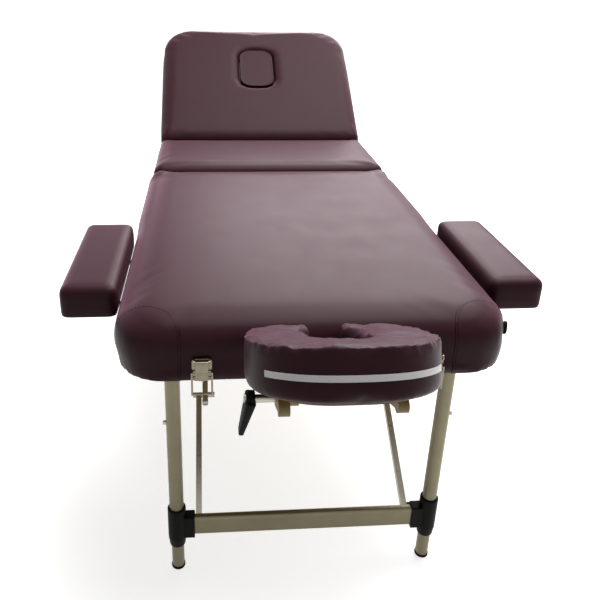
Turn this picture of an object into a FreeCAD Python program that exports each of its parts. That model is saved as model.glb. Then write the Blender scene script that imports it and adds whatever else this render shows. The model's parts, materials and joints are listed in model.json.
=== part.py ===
import FreeCAD, Part
import os
import re

# Folding massage table, millimetres. The fold line is y = 0 while the pieces are built, the
# headrest end is at -y, x runs across the table and the floor is z = 0. Every finished piece is
# then moved along y by centre_shift, so that the whole table stands centred over the origin.

V = FreeCAD.Vector
ACROSS = FreeCAD.Rotation(V(0, 1, 0), 90)
ALONG = FreeCAD.Rotation(V(1, 0, 0), -90)
UP = FreeCAD.Rotation(V(0, 0, 1), 0)
STAND = FreeCAD.Rotation(V(1, 0, 0), 90)
TINY = 1e-4
FINE = 0.05
HEIGHT_HOLES = 7
RACK_NOTCHES = 5

doc = FreeCAD.newDocument("massage_table")
dims = doc.addObject("Spreadsheet::Sheet", "dims")
dims.Label = "dims"
aliases = []


def put(name, text):
    row = len(aliases) + 1
    dims.set("A%d" % row, name)
    dims.set("B%d" % row, text)
    dims.setAlias("B%d" % row, name)
    aliases.append(name)


SIZES = {
    # the two upholstered halves
    "table_width": 700, "half_len": 925, "top_z": 589, "foam_t": 46, "deck_t": 6, "rail_h": 50,
    "skirt_t": 10, "rail_t": 18, "fold_half_gap": 1, "corner_r": 86, "fold_corner_r": 26,
    "edge_r": 42, "seam_r": 22.5, "strip_len": 344, "seam_gap": 8,
    # how far a cutting tool runs past what it cuts
    "over": 5,
    # backrest, its face hole with the plug, its hinges and its prop
    "back_angle": 35, "back_lip": 4, "panel_skirt": 4, "panel_r": 112, "hole_x": 140, "hole_y": 204,
    "hole_r": 48, "hole_at": 358, "plug_gap": 0.4, "plug_ledge": 10, "plug_sink": 1.5, "plug_r": 6,
    "leaf_t": 1.5, "leaf_w": 50, "leaf_x": 235, "barrel_r": 3.5, "hinge_pin_r": 1.5,
    "knuckle_w": 10, "knuckle_gap": 0.3, "tab_lap": 2, "run_gap": 0.05, "prop_at": 261,
    "prop_drop": 37, "prop_line": 6, "prop_side": 14, "prop_t": 12, "prop_pin_r": 4,
    "prop_pin_end": 2, "prop_rod_r": 5, "prop_rod_end": 4, "prop_lug_gap": 3, "prop_lug_t": 6,
    "prop_lug_half": 7.5, "rack_side": 15, "rack_t": 18, "rack_front": 270,
    "rack_gap": 0.3, "rack_seat_gap": 0.5, "notch_r": 4, "notch_first": 45, "notch_pitch": 42,
    # legs
    "leg_side": 95, "leg_pass": 36, "leg_r": 14, "leg_bore_r": 12.55, "foot_r": 12.5,
    "foot_bore_r": 11, "leg_in": 57, "pivot_h": 19, "leg_low_z": 65, "leg_top": 14, "leg_top_r": 3,
    "leg_plug": 32, "pivot_r": 5, "pivot_len": 42, "block_out": 16, "block_w": 28, "block_reach": 20,
    "block_inset": 3, "block_r": 12, "foot_top_z": 389, "cap_r": 13.2, "cap_h": 5, "cap_round": 2,
    "cap_sole_t": 6, "button_z": 359, "button_r": 4, "button_out": 20, "button_in": 2,
    "button_round": 2.5, "hole_pitch": 30, "bar_h": 44, "bar_t": 16, "bar_r": 6, "bar_z": 108,
    "bar_in": 16, "tee_r": 18, "tee_foot_r": 15.6, "tee_low_z": 63, "tee_top_z": 155, "tee_in": 35,
    "tee_wall": 4, "tee_edge": 3,
    # the two-link leg braces
    "brace_off": 19, "link_w": 12, "lane_low": 43, "lane_up": 57, "brace_u": 642,
    "link_pin_r": 3.5, "link_tail": 16, "link_pin_end": 1, "ear_t": 6, "ear_half": 10, "lug_t": 6,
    "lug_gap": 4, "lug_half": 11, "bolt_r": 6, "bolt_head": 7, "nut_len": 15, "washer_gap": 0.3,
    # fold hinges
    "fold_drop": 4, "fold_leaf_x": 180, "fold_leaf_w": 60, "fold_leaf_reach": 34, "fold_knuckle_w": 12,
    # latches, keepers and bumpers
    "latch_x": 200, "latch_half": 17, "latch_low": 4, "latch_h": 44, "latch_t": 3, "latch_r": 7,
    "ear_in": 11.5, "ear_th": 2.5, "latch_ear_half": 5, "lever_half": 11,
    "lever_y": 7.5, "lever_t": 4, "lever_len": 34, "lever_r": 8, "lever_boss": 3,
    "lever_pin_r": 2, "lever_pivot": 38, "bail_pivot": 18, "bail_x": 17, "bail_r": 1.5,
    "bail_side_r": 1.8, "bail_drop": 42, "keeper_half": 12, "keeper_low": 16, "keeper_h": 20,
    "keeper_t": 2, "keeper_hook": 5, "keeper_lip": 7, "bumper_r": 12, "bumper_t": 6,
    "bumper_round": 3.5, "bumper_turn": 22.5, "bumper_fold": 60, "bumper_main_up": 62,
    "bumper_back_up": 28,
    # armrests
    "arm_gap": 12, "arm_w": 100, "arm_len": 327, "arm_start": 150, "arm_top_z": 589, "arm_t": 57,
    "arm_r": 12, "arm_rod_r": 6, "arm_rod_in": 62, "arm_rod_end": 67, "arm_plate_t": 4,
    "arm_plate_inset": 12, "arm_plate_r": 14, "rod_hole_gap": 0.3,
    # headrest
    "head_out": 150, "head_z": 562, "head_tilt": 24, "head_half_w": 136, "head_front": 158,
    "head_rear": 112, "head_low": 24, "head_t": 71, "head_corner_r": 116, "head_edge_r": 24,
    "head_board_t": 9, "head_board_inset": 38, "face_half_w": 47, "face_front": 78,
    "face_rear": 82, "face_r": 44, "gap_half_w": 26, "head_rod_x": 66, "head_rod_r": 6,
    "head_rod_in": 105, "post_z": 519, "post_out": 80, "pivot_left": 138, "pivot_right": 98,
    "head_arm_in": 58, "head_arm_t": 16, "head_root_out": 70, "head_root_r": 15, "head_boss_r": 12,
    "head_lug_in": 76, "head_lug_t": 16, "head_lug_r": 11, "head_lug_nose": 44, "head_nose_low": 5,
    "lever_boss_r": 12, "lever_in": 122, "lever_w": 12, "lever_reach": 66, "lever_d": 18,
    "lever_tip_d": 8, "lever_lean": 12,
}
for name, value in SIZES.items():
    put(name, str(value))

DERIVED = {
    "half_w": "=table_width / 2",
    "front_leg_x": "=table_width / 2 - leg_side",
    "rear_leg_x": "=table_width / 2 - leg_side - leg_pass",
    "end_rail_x": "=table_width / 2 - leg_side + block_out + block_w",
    "rack_out": "=rear_leg_x - lane_up - link_w / 2 - nut_len - rack_side",
    "rack_in": "=rear_leg_x - lane_up - link_w / 2 - nut_len - rack_side - rack_t",
    "prop_half_w": "=rack_in - prop_side",
    "panel_pocket_r": "=panel_r - panel_skirt",
    "panel_x": "=table_width / 2 - panel_skirt",
    "under_z": "=top_z - foam_t - deck_t - rail_h",
    "deck_low": "=top_z - foam_t - deck_t",
    "deck_top": "=top_z - foam_t",
    "pocket_x": "=table_width / 2 - skirt_t",
    "pocket_end": "=half_len - skirt_t",
    "pocket_fold": "=fold_half_gap + skirt_t",
    "pocket_r": "=corner_r - skirt_t",
    "back_y": "=strip_len + seam_gap / 2",
    "back_z": "=top_z - foam_t / 2",
    "back_end": "=half_len - back_y",
    "panel_low": "=deck_low - back_z",
    "panel_deck": "=deck_top - back_z",
    "prop_len": "=sqrt(prop_at ^ 2 + prop_drop ^ 2)",
    "prop_down": "=atan(prop_drop / prop_at)",
    "prop_open": "=back_angle * 1 deg - prop_down + prop_line * 1 deg",
    "prop_y": "=back_y + prop_len * cos(back_angle * 1 deg - prop_down)",
    "prop_z": "=back_z + prop_len * sin(back_angle * 1 deg - prop_down)",
    "prop_turn": "=-(prop_line * 1 deg) - prop_open",
    "leg_q": "=half_len - leg_in",
    "pivot_z": "=under_z + pivot_h",
    "brace_s_z": "=bar_z",
    "brace_s_q": "=leg_q - brace_off",
    "brace_s": "=pivot_z - bar_z",
    "brace_u_q": "=leg_q - brace_u",
    "brace_u_z": "=pivot_z + brace_off",
    "brace_run": "=brace_u - brace_off",
    "brace_rise": "=brace_u_z - brace_s_z",
    "brace_span": "=sqrt(brace_run ^ 2 + brace_rise ^ 2)",
    "brace_turn": "=atan(brace_rise / brace_run)",
    "low_len": "=(brace_span - brace_u + brace_s) / 2",
    "up_len": "=(brace_span + brace_u - brace_s) / 2",
    "fold_z": "=under_z - fold_drop",
    "arm_in_x": "=table_width / 2 + arm_gap",
    "arm_low_z": "=arm_top_z - arm_t",
    "arm_rod_z": "=arm_top_z - arm_t - arm_plate_t - arm_rod_r",
    "head_y": "=0 - half_len - head_out",
    "head_root_y": "=0 - half_len - head_root_out",
    "head_arm_len": "=sqrt((head_out - head_root_out) ^ 2 + (head_z - post_z) ^ 2)",
    "head_arm_rise": "=atan((head_z - post_z) / (head_out - head_root_out))",
    "head_board_r": "=head_corner_r - head_board_inset",
    "head_under": "=head_low - head_board_t",
    "latch_z": "=under_z + latch_low",
    "lever_z": "=under_z + latch_low + lever_pivot",
    "bail_z": "=under_z + latch_low + bail_pivot",
    "keeper_z": "=under_z + keeper_low",
}
for name, text in DERIVED.items():
    put(name, text)
put("centre_shift", "0")
doc.recompute()
WORDS = re.compile(r"\b(" + "|".join(sorted(aliases, key=len, reverse=True)) + r")\b")


def bound(text):
    return WORDS.sub(r"dims.\1", str(text))


def got(name):
    value = dims.get(name)
    return float(getattr(value, "Value", value))


def bind(obj, prop, text):
    obj.setExpression(prop, bound(text))


primitive_y = {}


def place(obj, x, y, z):
    bind(obj, "Placement.Base.x", x)
    bind(obj, "Placement.Base.y", y)
    bind(obj, "Placement.Base.z", z)
    primitive_y[obj.Name] = str(y)


def span(ends):
    return "(%s) - (%s)" % (ends[1], ends[0])


def box(name, x, y, z):
    obj = doc.addObject("Part::Box", name)
    bind(obj, "Length", span(x))
    bind(obj, "Width", span(y))
    bind(obj, "Height", span(z))
    place(obj, x[0], y[0], z[0])
    return obj


def rod(name, turn, at, radius, length):
    obj = doc.addObject("Part::Cylinder", name)
    bind(obj, "Radius", radius)
    bind(obj, "Height", length)
    obj.Placement = FreeCAD.Placement(V(0, 0, 0), turn)
    place(obj, at[0], at[1], at[2])
    return obj


def across(name, x, y, z, radius, spare="0"):
    # a rod along x between two ends, longer by spare at each of them
    return rod(name, ACROSS, ("%s - %s" % (x[0], spare), y, z), radius, span(x) + " + 2 * " + spare)


def along(name, x, y, z, radius, spare="0"):
    return rod(name, ALONG, (x, "%s - %s" % (y[0], spare), z), radius, span(y) + " + 2 * " + spare)


def upward(name, x, y, z, radius, spare="0"):
    return rod(name, UP, (x, y, "%s - %s" % (z[0], spare)), radius, span(z) + " + 2 * " + spare)


def taper(name, turn, base, top, height):
    # a tapered block that grows along its own y from one rectangle of x and z to another
    obj = doc.addObject("Part::Wedge", name)
    for prop, text in zip(("Xmin", "Xmax", "Zmin", "Zmax"), base):
        bind(obj, prop, text)
    for prop, text in zip(("X2min", "X2max", "Z2min", "Z2max"), top):
        bind(obj, prop, text)
    bind(obj, "Ymin", "0")
    bind(obj, "Ymax", height)
    obj.Placement = FreeCAD.Placement(V(0, 0, 0), turn)
    return obj


def fuse(name, pieces):
    obj = doc.addObject("Part::MultiFuse", name)
    obj.Shapes = pieces
    return obj


def cut(name, base, tools):
    obj = doc.addObject("Part::Cut", name)
    obj.Base = base
    obj.Tool = tools[0] if len(tools) == 1 else fuse(name + "_tools", tools)
    return obj


def common(name, base, tool):
    obj = doc.addObject("Part::Common", name)
    obj.Base = base
    obj.Tool = tool
    return obj


def rounded(name, base, radius, wanted):
    # The edges are found by where they lie, so a changed size keeps the right ones.
    doc.recompute()
    obj = doc.addObject("Part::Fillet", name)
    obj.Base = base
    picked = [n for n, edge in enumerate(base.Shape.Edges, 1) if wanted(edge)]
    obj.Edges = [(n, got(radius), got(radius)) for n in picked]
    doc.recompute()
    return obj


def reach(edge, axis):
    bounds = edge.BoundBox
    return getattr(bounds, axis + "Min"), getattr(bounds, axis + "Max")


def runs(axis):
    # straight edges parallel to one axis
    def test(edge):
        others = [reach(edge, a) for a in "XYZ".replace(axis, "")]
        own = reach(edge, axis)
        return own[1] - own[0] > TINY and max(high - low for low, high in others) < TINY
    return test


def lies_at(axis, value):
    # edges in the plane where that axis has this value
    def test(edge):
        low, high = reach(edge, axis)
        return abs(low - value) + abs(high - value) < TINY
    return test


def both(first, second):
    return lambda edge: first(edge) and second(edge)


nodes = {}


def keep(node, obj, turn=None, at=None):
    obj.Label = node
    if turn is not None:
        obj.Placement = FreeCAD.Placement(V(0, 0, 0), FreeCAD.Rotation(V(1, 0, 0), 30))
        bind(obj, "Placement.Rotation.Angle", turn)
        bind(obj, "Placement.Base.y", "%s + centre_shift" % at[0])
        bind(obj, "Placement.Base.z", at[1])
    else:
        own = primitive_y.get(obj.Name, "0")
        bind(obj, "Placement.Base.y", "%s + centre_shift" % own)
    nodes[node] = obj


def pair(a, b, side):
    # a stretch on the right (+1), or its mirror image on the left (-1)
    return (a, b) if side > 0 else ("-(%s)" % b, "-(%s)" % a)


def spot(side, a):
    return a if side > 0 else "-(%s)" % a


def block(name, x, y, z, end_r, other_r, end_sign):
    # a slab with rounded upright corners, which may differ between its -y and +y ends
    slab = box(name + "_slab", x, y, z)
    doc.recompute()
    low, high = reach(slab.Shape, "Y")
    ends = (high, low) if end_sign > 0 else (low, high)
    out = rounded(name + "_ends", slab, end_r, both(runs("Z"), lies_at("Y", ends[0])))
    if other_r:
        out = rounded(name + "_others", out, other_r, both(runs("Z"), lies_at("Y", ends[1])))
    return out


WIDE = ("-half_w", "half_w")
POCKET = ("-pocket_x", "pocket_x")
SIDES = ((-1, "l"), (1, "r"))
ARM_RODS = ("-half_len + arm_start + arm_rod_end", "-half_len + arm_start + arm_len - arm_rod_end")

# upholstery of the main half: foam and vinyl with skirts down to the underside
main = block("main_block", WIDE, ("-half_len", "-fold_half_gap"), ("under_z", "top_z"),
             "corner_r", "fold_corner_r", -1)
main = rounded("main_soft", main, "edge_r", lies_at("Z", got("top_z")))
holes = [block("main_pocket", POCKET, ("-pocket_end", "-pocket_fold"), ("under_z - over", "deck_top"),
               "pocket_r", None, -1)]
for side, hand in SIDES:
    holes.append(along("main_headhole_" + hand, spot(side, "head_rod_x"), ("-half_len", "-pocket_end"),
                       "post_z", "head_rod_r + rod_hole_gap", "over"))
    for y in ARM_RODS:
        holes.append(across("main_armhole_%s_%d" % (hand, len(holes)), pair("pocket_x", "half_w", side),
                            y, "arm_rod_z", "arm_rod_r + rod_hole_gap", "over"))
keep("pad_main", cut("pad_main", main, holes))
keep("deck_main", block("deck_main", POCKET, ("-pocket_end", "-pocket_fold"),
                        ("deck_low", "deck_top"), "pocket_r", None, -1))

# upholstery of the rear half: the fixed strip, and the wrapped apron behind it
strip = block("strip_block", WIDE, ("fold_half_gap", "strip_len"), ("under_z", "top_z"),
              "fold_corner_r", None, -1)
strip = rounded("strip_soft", strip, "seam_r", lies_at("Z", got("top_z")))
pocket = box("strip_pocket", POCKET, ("pocket_fold", "strip_len + over"), ("under_z - over", "deck_top"))
keep("pad_strip", cut("pad_strip", strip, [pocket]))
keep("deck_strip", box("deck_strip", POCKET, ("pocket_fold", "strip_len"), ("deck_low", "deck_top")))
band = block("apron_block", WIDE, ("strip_len", "half_len"), ("under_z", "deck_low"),
             "corner_r", None, 1)
inner = block("apron_inner", POCKET, ("strip_len - over", "pocket_end"),
              ("under_z - over", "deck_low + over"), "pocket_r", None, 1)
keep("apron_back", cut("apron_back", band, [inner]))

# wooden rails of both halves; the end rails follow the rounded corners of the upholstery
for half, tag in ((-1, "main"), (1, "back")):
    tall = ("under_z", "deck_low")
    boards = []
    for side, hand in SIDES:
        x = pair("pocket_x - rail_t", "pocket_x", side)
        board = box("rail_%s_%s" % (tag, hand), x, pair("pocket_fold", "pocket_end - pocket_r", half), tall)
        if half < 0:
            bores = [across("rail_bore_%s_%d" % (hand, n), x, y, "arm_rod_z", "arm_rod_r + run_gap", "over")
                     for n, y in enumerate(ARM_RODS)]
            board = cut("rail_bored_" + hand, board, bores)
        boards.append(board)
    keep("side_rails_" + tag, fuse("side_rails_" + tag, boards))
    fold_rail = box("fold_rail_" + tag, ("-(pocket_x - rail_t)", "pocket_x - rail_t"),
                    pair("pocket_fold", "pocket_fold + rail_t", half), tall)
    y = pair("pocket_end - rail_t", "pocket_end", half)
    end_board = box("end_board_" + tag, ("-end_rail_x", "end_rail_x"), y, tall)
    outline = block("rail_outline_" + tag, POCKET, pair("pocket_fold", "pocket_end", half), tall,
                    "pocket_r", None, half)
    end_rail = common("end_rail_" + tag, end_board, outline)
    if half < 0:
        bores = [along("end_bore_" + hand, spot(side, "head_rod_x"), y, "post_z",
                       "head_rod_r + run_gap", "over") for side, hand in SIDES]
        end_rail = cut("end_rail_bored", end_rail, bores)
    keep("cross_rails_" + tag, fuse("cross_rails_" + tag, [fold_rail, end_rail]))

# leg frames, feet, buttons and braces: the same set at both ends
brackets = {}
for half, tag, leg_x in ((-1, "front", "front_leg_x"), (1, "rear", "rear_leg_x")):
    q = spot(half, "leg_q")
    s_q = spot(half, "brace_s_q")
    u_q = spot(half, "brace_u_q")
    bar_y = pair("leg_q - bar_t / 2", "leg_q + bar_t / 2", half)
    bar_tall = ("bar_z - bar_h / 2", "bar_z + bar_h / 2")
    blocks = []
    lugs = []
    tees = []
    for side, hand in SIDES:
        key = tag[0] + hand
        x = spot(side, leg_x)

        # leg tube with its pivot stub and the row of height holes on the outer side
        tube = upward("tube_" + key, x, q, ("leg_low_z", "pivot_z + leg_top"), "leg_r")
        tube = rounded("tube_round_" + key, tube, "leg_top_r",
                       lies_at("Z", got("pivot_z") + got("leg_top")))
        stub = across("stub_" + key, pair(leg_x, "%s + pivot_len" % leg_x, side), q, "pivot_z", "pivot_r")
        tools = [upward("tube_bore_" + key, x, q, ("leg_low_z - over", "pivot_z - leg_plug"), "leg_bore_r")]
        outward = pair(leg_x, "%s + leg_r + over" % leg_x, side)
        for step in range(HEIGHT_HOLES):
            tools.append(across("tube_hole_%s_%d" % (key, step), outward, q,
                                "button_z - %d * hole_pitch" % step, "button_r + run_gap"))
        keep("leg_" + key, cut("leg_" + key, fuse("tube_stub_" + key, [tube, stub]), tools))

        # bearing block between the end rail and the deck
        block_x = pair("%s + block_out" % leg_x, "%s + block_out + block_w" % leg_x, side)
        body = box("block_" + key, block_x, pair("leg_q - block_reach", "pocket_end - rail_t", half),
                   ("under_z + block_inset", "deck_low"))
        toe = half * (got("leg_q") - got("block_reach"))
        body = rounded("block_round_" + key, body, "block_r",
                       lambda e: runs("X")(e) and lies_at("Y", toe)(e) and e.BoundBox.ZMax < got("pivot_z"))
        bore = across("block_bore_" + key, block_x, q, "pivot_z", "pivot_r + run_gap", "over")
        blocks.append(cut("block_bored_" + key, body, [bore]))

        # moulded connector round the leg: tapered sleeve, socket for the crossbar, ear for the brace
        skirt = doc.addObject("Part::Cone", "tee_skirt_" + key)
        bind(skirt, "Radius1", "tee_foot_r")
        bind(skirt, "Radius2", "tee_r")
        bind(skirt, "Height", "bar_z - bar_h / 2 - tee_wall - tee_low_z")
        place(skirt, x, q, "tee_low_z")
        sleeve = upward("sleeve_" + key, x, q, ("bar_z - bar_h / 2 - tee_wall", "tee_top_z"), "tee_r")
        sleeve = rounded("sleeve_round_" + key, sleeve, "tee_edge", lies_at("Z", got("tee_top_z")))
        socket = box("socket_" + key, pair("%s - tee_in" % leg_x, leg_x, side),
                     pair("leg_q - bar_t / 2 - tee_wall", "leg_q + bar_t / 2 + tee_wall", half),
                     ("bar_z - bar_h / 2 - tee_wall", "bar_z + bar_h / 2 + tee_wall"))
        socket = rounded("socket_round_" + key, socket, "tee_edge", runs("X"))
        ear_x = pair("%s - tee_in" % leg_x, "%s - tee_in + ear_t" % leg_x, side)
        ear = box("ear_" + key, ear_x, pair("brace_s_q", "leg_q", half),
                  ("bar_z - ear_half", "bar_z + ear_half"))
        ear_end = across("ear_end_" + key, ear_x, s_q, "bar_z", "ear_half")
        tools = [
            upward("sleeve_bore_" + key, x, q, ("tee_low_z", "tee_top_z"), "leg_r", "over"),
            box("bar_pocket_" + key, pair("%s - tee_in - over" % leg_x, "%s - bar_in" % leg_x, side),
                bar_y, bar_tall),
            across("ear_bore_" + key, ear_x, s_q, "bar_z", "link_pin_r + run_gap", "over"),
        ]
        solid = fuse("tee_solid_" + key, [skirt, sleeve, socket, ear, ear_end])
        tees.append(cut("tee_" + key, solid, tools))

        # sliding foot tube with its rubber glide, and the spring button through both tubes
        inner = upward("inner_" + key, x, q, ("0", "foot_top_z"), "foot_r")
        cap = upward("cap_" + key, x, q, ("0", "cap_h"), "cap_r")
        tools = [
            upward("inner_bore_" + key, x, q, ("cap_sole_t", "foot_top_z + over"), "foot_bore_r"),
            across("inner_hole_" + key, outward, q, "button_z", "button_r + run_gap"),
        ]
        solid = rounded("foot_round_" + key, fuse("foot_solid_" + key, [inner, cap]), "cap_round",
                        lambda e: e.BoundBox.ZMax < TINY and e.BoundBox.XLength > 2 * got("foot_r") + TINY)
        keep("foot_" + key, cut("foot_" + key, solid, tools))
        pin = across("button_pin_" + key, pair("%s + button_in" % leg_x, "%s + button_out" % leg_x, side),
                     q, "button_z", "button_r")
        keep("button_" + key, rounded("button_" + key, pin, "button_round",
                                      lies_at("X", side * (got(leg_x) + got("button_out")))))

        # lower link on the connector's ear, upper link on the lug under the deck
        lane = "%s - lane_low" % leg_x
        bar_x = pair("%s - link_w / 2" % lane, "%s + link_w / 2" % lane, side)
        pieces = [box("low_bar_" + key, bar_x, pair("0", "low_len", -half), ("-link_w / 2", "link_w / 2"))]
        for name, y in (("ear", "0"), ("knee", "low_len")):
            pieces.append(across("low_%s_%s" % (name, key), bar_x, spot(-half, y), "0", "link_w / 2"))
        pieces.append(across("low_pin_" + key,
                             pair(lane, "%s - tee_in + ear_t + link_pin_end" % leg_x, side),
                             "0", "0", "link_pin_r"))
        pieces.append(across("low_bolt_" + key,
                             pair("%s - lane_up + link_w / 2 + washer_gap" % leg_x,
                                  "%s + link_w / 2 + bolt_head" % lane, side),
                             spot(-half, "low_len"), "0", "bolt_r"))
        keep("lower_link_" + key, fuse("lower_link_" + key, pieces),
             "%d * brace_turn" % (-half), (s_q, "brace_s_z"))
        lane = "%s - lane_up" % leg_x
        bar_x = pair("%s - link_w / 2" % lane, "%s + link_w / 2" % lane, side)
        pieces = [box("up_bar_" + key, bar_x, pair("0", "up_len + link_tail", half),
                      ("-link_w / 2", "link_w / 2"))]
        for name, y in (("lug", "0"), ("tail", "up_len + link_tail")):
            pieces.append(across("up_%s_%s" % (name, key), bar_x, spot(half, y), "0", "link_w / 2"))
        lug_far = "%s - link_w / 2 - lug_gap - lug_t" % lane
        pieces.append(across("up_pin_" + key, pair("%s - link_pin_end" % lug_far, lane, side),
                             "0", "0", "link_pin_r"))
        pieces.append(across("up_nut_" + key, pair("%s - link_w / 2 - nut_len" % lane, lane, side),
                             spot(half, "up_len"), "0", "bolt_r"))
        keep("upper_link_" + key, fuse("upper_link_" + key, pieces),
             "%d * brace_turn" % (-half), (u_q, "brace_u_z"))
        lug_x = pair(lug_far, "%s + lug_t" % lug_far, side)
        plate = box("lug_" + key, lug_x, pair("brace_u_q - lug_half", "brace_u_q + lug_half", half),
                    ("brace_u_z", "deck_low"))
        end = across("lug_end_" + key, lug_x, u_q, "brace_u_z", "lug_half")
        bore = across("lug_bore_" + key, lug_x, u_q, "brace_u_z", "link_pin_r + run_gap", "over")
        lugs.append(cut("lug_bored_" + key, fuse("lug_solid_" + key, [plate, end]), [bore]))

    keep("pivot_blocks_" + tag, fuse("pivot_blocks_" + tag, blocks))
    keep("connectors_" + tag, fuse("connectors_" + tag, tees))
    bar = box("bar_" + tag, ("-(%s - bar_in)" % leg_x, "%s - bar_in" % leg_x), bar_y, bar_tall)
    keep("crossbar_" + tag, rounded("crossbar_" + tag, bar, "bar_r", runs("X")))

    # fold hinge leaves: the front half carries the pin and the outer knuckles
    leaves = []
    for side, hand in SIDES:
        key = tag[0] + hand
        lo = "%s - fold_leaf_w / 2" % spot(side, "fold_leaf_x")
        hi = "%s + fold_leaf_w / 2" % spot(side, "fold_leaf_x")
        pieces = [box("fold_leaf_" + key, (lo, hi), pair("barrel_r + knuckle_gap", "fold_leaf_reach", half),
                      ("under_z - leaf_t", "under_z"))]
        if half < 0:
            barrels = [(lo, lo + " + fold_knuckle_w"), (hi + " - fold_knuckle_w", hi)]
            pieces.append(across("fold_pin_" + key, (lo, hi), "0", "fold_z", "hinge_pin_r"))
        else:
            barrels = [(lo + " + fold_knuckle_w + knuckle_gap", hi + " - fold_knuckle_w - knuckle_gap")]
        for n, barrel in enumerate(barrels):
            pieces.append(across("fold_knuckle_%s_%d" % (key, n), barrel, "0", "fold_z", "barrel_r"))
            pieces.append(box("fold_tab_%s_%d" % (key, n), barrel, pair("0", "barrel_r + knuckle_gap", half),
                              ("fold_z + barrel_r - leaf_t", "under_z")))
        leaf = fuse("fold_set_" + key, pieces)
        if half > 0:
            bore = across("fold_bore_" + key, (lo, hi), "0", "fold_z", "hinge_pin_r + run_gap")
            leaf = cut("fold_bored_" + key, leaf, [bore])
        leaves.append(leaf)
    brackets[tag] = lugs + leaves
keep("brackets_main", fuse("brackets_main", brackets["front"]))

# backrest hinges in the seam: fixed leaves on the strip, moving leaves on the panel
fixed = []
moving = []
for side, hand in SIDES:
    lo = "%s - leaf_w / 2" % spot(side, "leaf_x")
    hi = "%s + leaf_w / 2" % spot(side, "leaf_x")
    leaf_y = ("strip_len", "strip_len + leaf_t")
    pieces = [
        box("back_leaf_" + hand, (lo, hi), leaf_y, ("deck_low", "back_z - barrel_r - knuckle_gap")),
        across("back_pin_" + hand, (lo, hi), "back_y", "back_z", "hinge_pin_r"),
    ]
    for n, barrel in enumerate(((lo, lo + " + knuckle_w"), (hi + " - knuckle_w", hi))):
        pieces.append(across("back_knuckle_%s_%d" % (hand, n), barrel, "back_y", "back_z", "barrel_r"))
        pieces.append(box("back_tab_%s_%d" % (hand, n), barrel, leaf_y,
                          ("back_z - barrel_r - knuckle_gap - tab_lap", "back_z")))
    fixed.append(fuse("back_fixed_" + hand, pieces))
    barrel = (lo + " + knuckle_w + knuckle_gap", hi + " - knuckle_w - knuckle_gap")
    leaf_y = ("back_lip - leaf_t", "back_lip")
    pieces = [
        box("panel_leaf_" + hand, (lo, hi), leaf_y, ("panel_low", "-barrel_r - knuckle_gap")),
        box("panel_tab_" + hand, barrel, leaf_y, ("-barrel_r - knuckle_gap - tab_lap", "0")),
        across("panel_knuckle_" + hand, barrel, "0", "0", "barrel_r"),
    ]
    bore = across("panel_bore_" + hand, (lo, hi), "0", "0", "hinge_pin_r + run_gap")
    moving.append(cut("panel_set_" + hand, fuse("panel_solid_" + hand, pieces), [bore]))
    lug_x = pair("prop_half_w + prop_lug_gap", "prop_half_w + prop_lug_gap + prop_lug_t", side)
    plate = box("prop_lug_" + hand, lug_x, ("prop_at - prop_lug_half", "prop_at + prop_lug_half"),
                ("-prop_drop", "panel_low"))
    end = across("prop_lug_end_" + hand, lug_x, "prop_at", "-prop_drop", "prop_lug_half")
    bore = across("prop_lug_bore_" + hand, lug_x, "prop_at", "-prop_drop", "prop_pin_r + run_gap", "over")
    moving.append(cut("prop_lug_set_" + hand, fuse("prop_lug_solid_" + hand, [plate, end]), [bore]))
keep("brackets_back", fuse("brackets_back", brackets["rear"] + fixed))
BACK = ("back_angle", ("back_y", "back_z"))
keep("backrest_brackets", fuse("backrest_brackets", moving), *BACK)

# backrest panel, drawn flat round its hinge line and raised by back_angle
panel = block("panel_block", WIDE, ("back_lip", "back_end"), ("panel_low", "foam_t / 2"),
              "panel_r", "fold_corner_r", 1)
panel = rounded("panel_soft", panel, "seam_r", lies_at("Z", got("foam_t") / 2))
PANEL_X = ("-panel_x", "panel_x")
pocket = block("panel_pocket", PANEL_X, ("back_lip - over", "back_end - panel_skirt"),
               ("panel_low - over", "panel_deck"), "panel_pocket_r", None, 1)


def face_slab(name, inset, tall):
    # a rounded slab in the place of the face hole, smaller by inset all round
    x = ("-hole_x / 2 + %s" % inset, "hole_x / 2 - %s" % inset)
    y = ("hole_at - hole_y / 2 + %s" % inset, "hole_at + hole_y / 2 - %s" % inset)
    return block(name, x, y, tall, "hole_r", "hole_r", 1)


opening = face_slab("face_hole", "0", ("panel_low - over", "foam_t"))
keep("pad_backrest", cut("pad_backrest", panel, [pocket, opening]), *BACK)
board = block("panel_board", PANEL_X, ("back_lip", "back_end - panel_skirt"),
              ("panel_low", "panel_deck"), "panel_pocket_r", None, 1)
opening = face_slab("deck_hole", "plug_ledge", ("panel_low - over", "foam_t"))
keep("deck_backrest", cut("deck_backrest", board, [opening]), *BACK)
plug = face_slab("plug_slab", "plug_gap", ("panel_deck + plug_gap", "foam_t / 2 - plug_sink"))
keep("face_plug", rounded("face_plug", plug, "plug_r",
                          lies_at("Z", got("foam_t") / 2 - got("plug_sink"))), *BACK)

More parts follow.
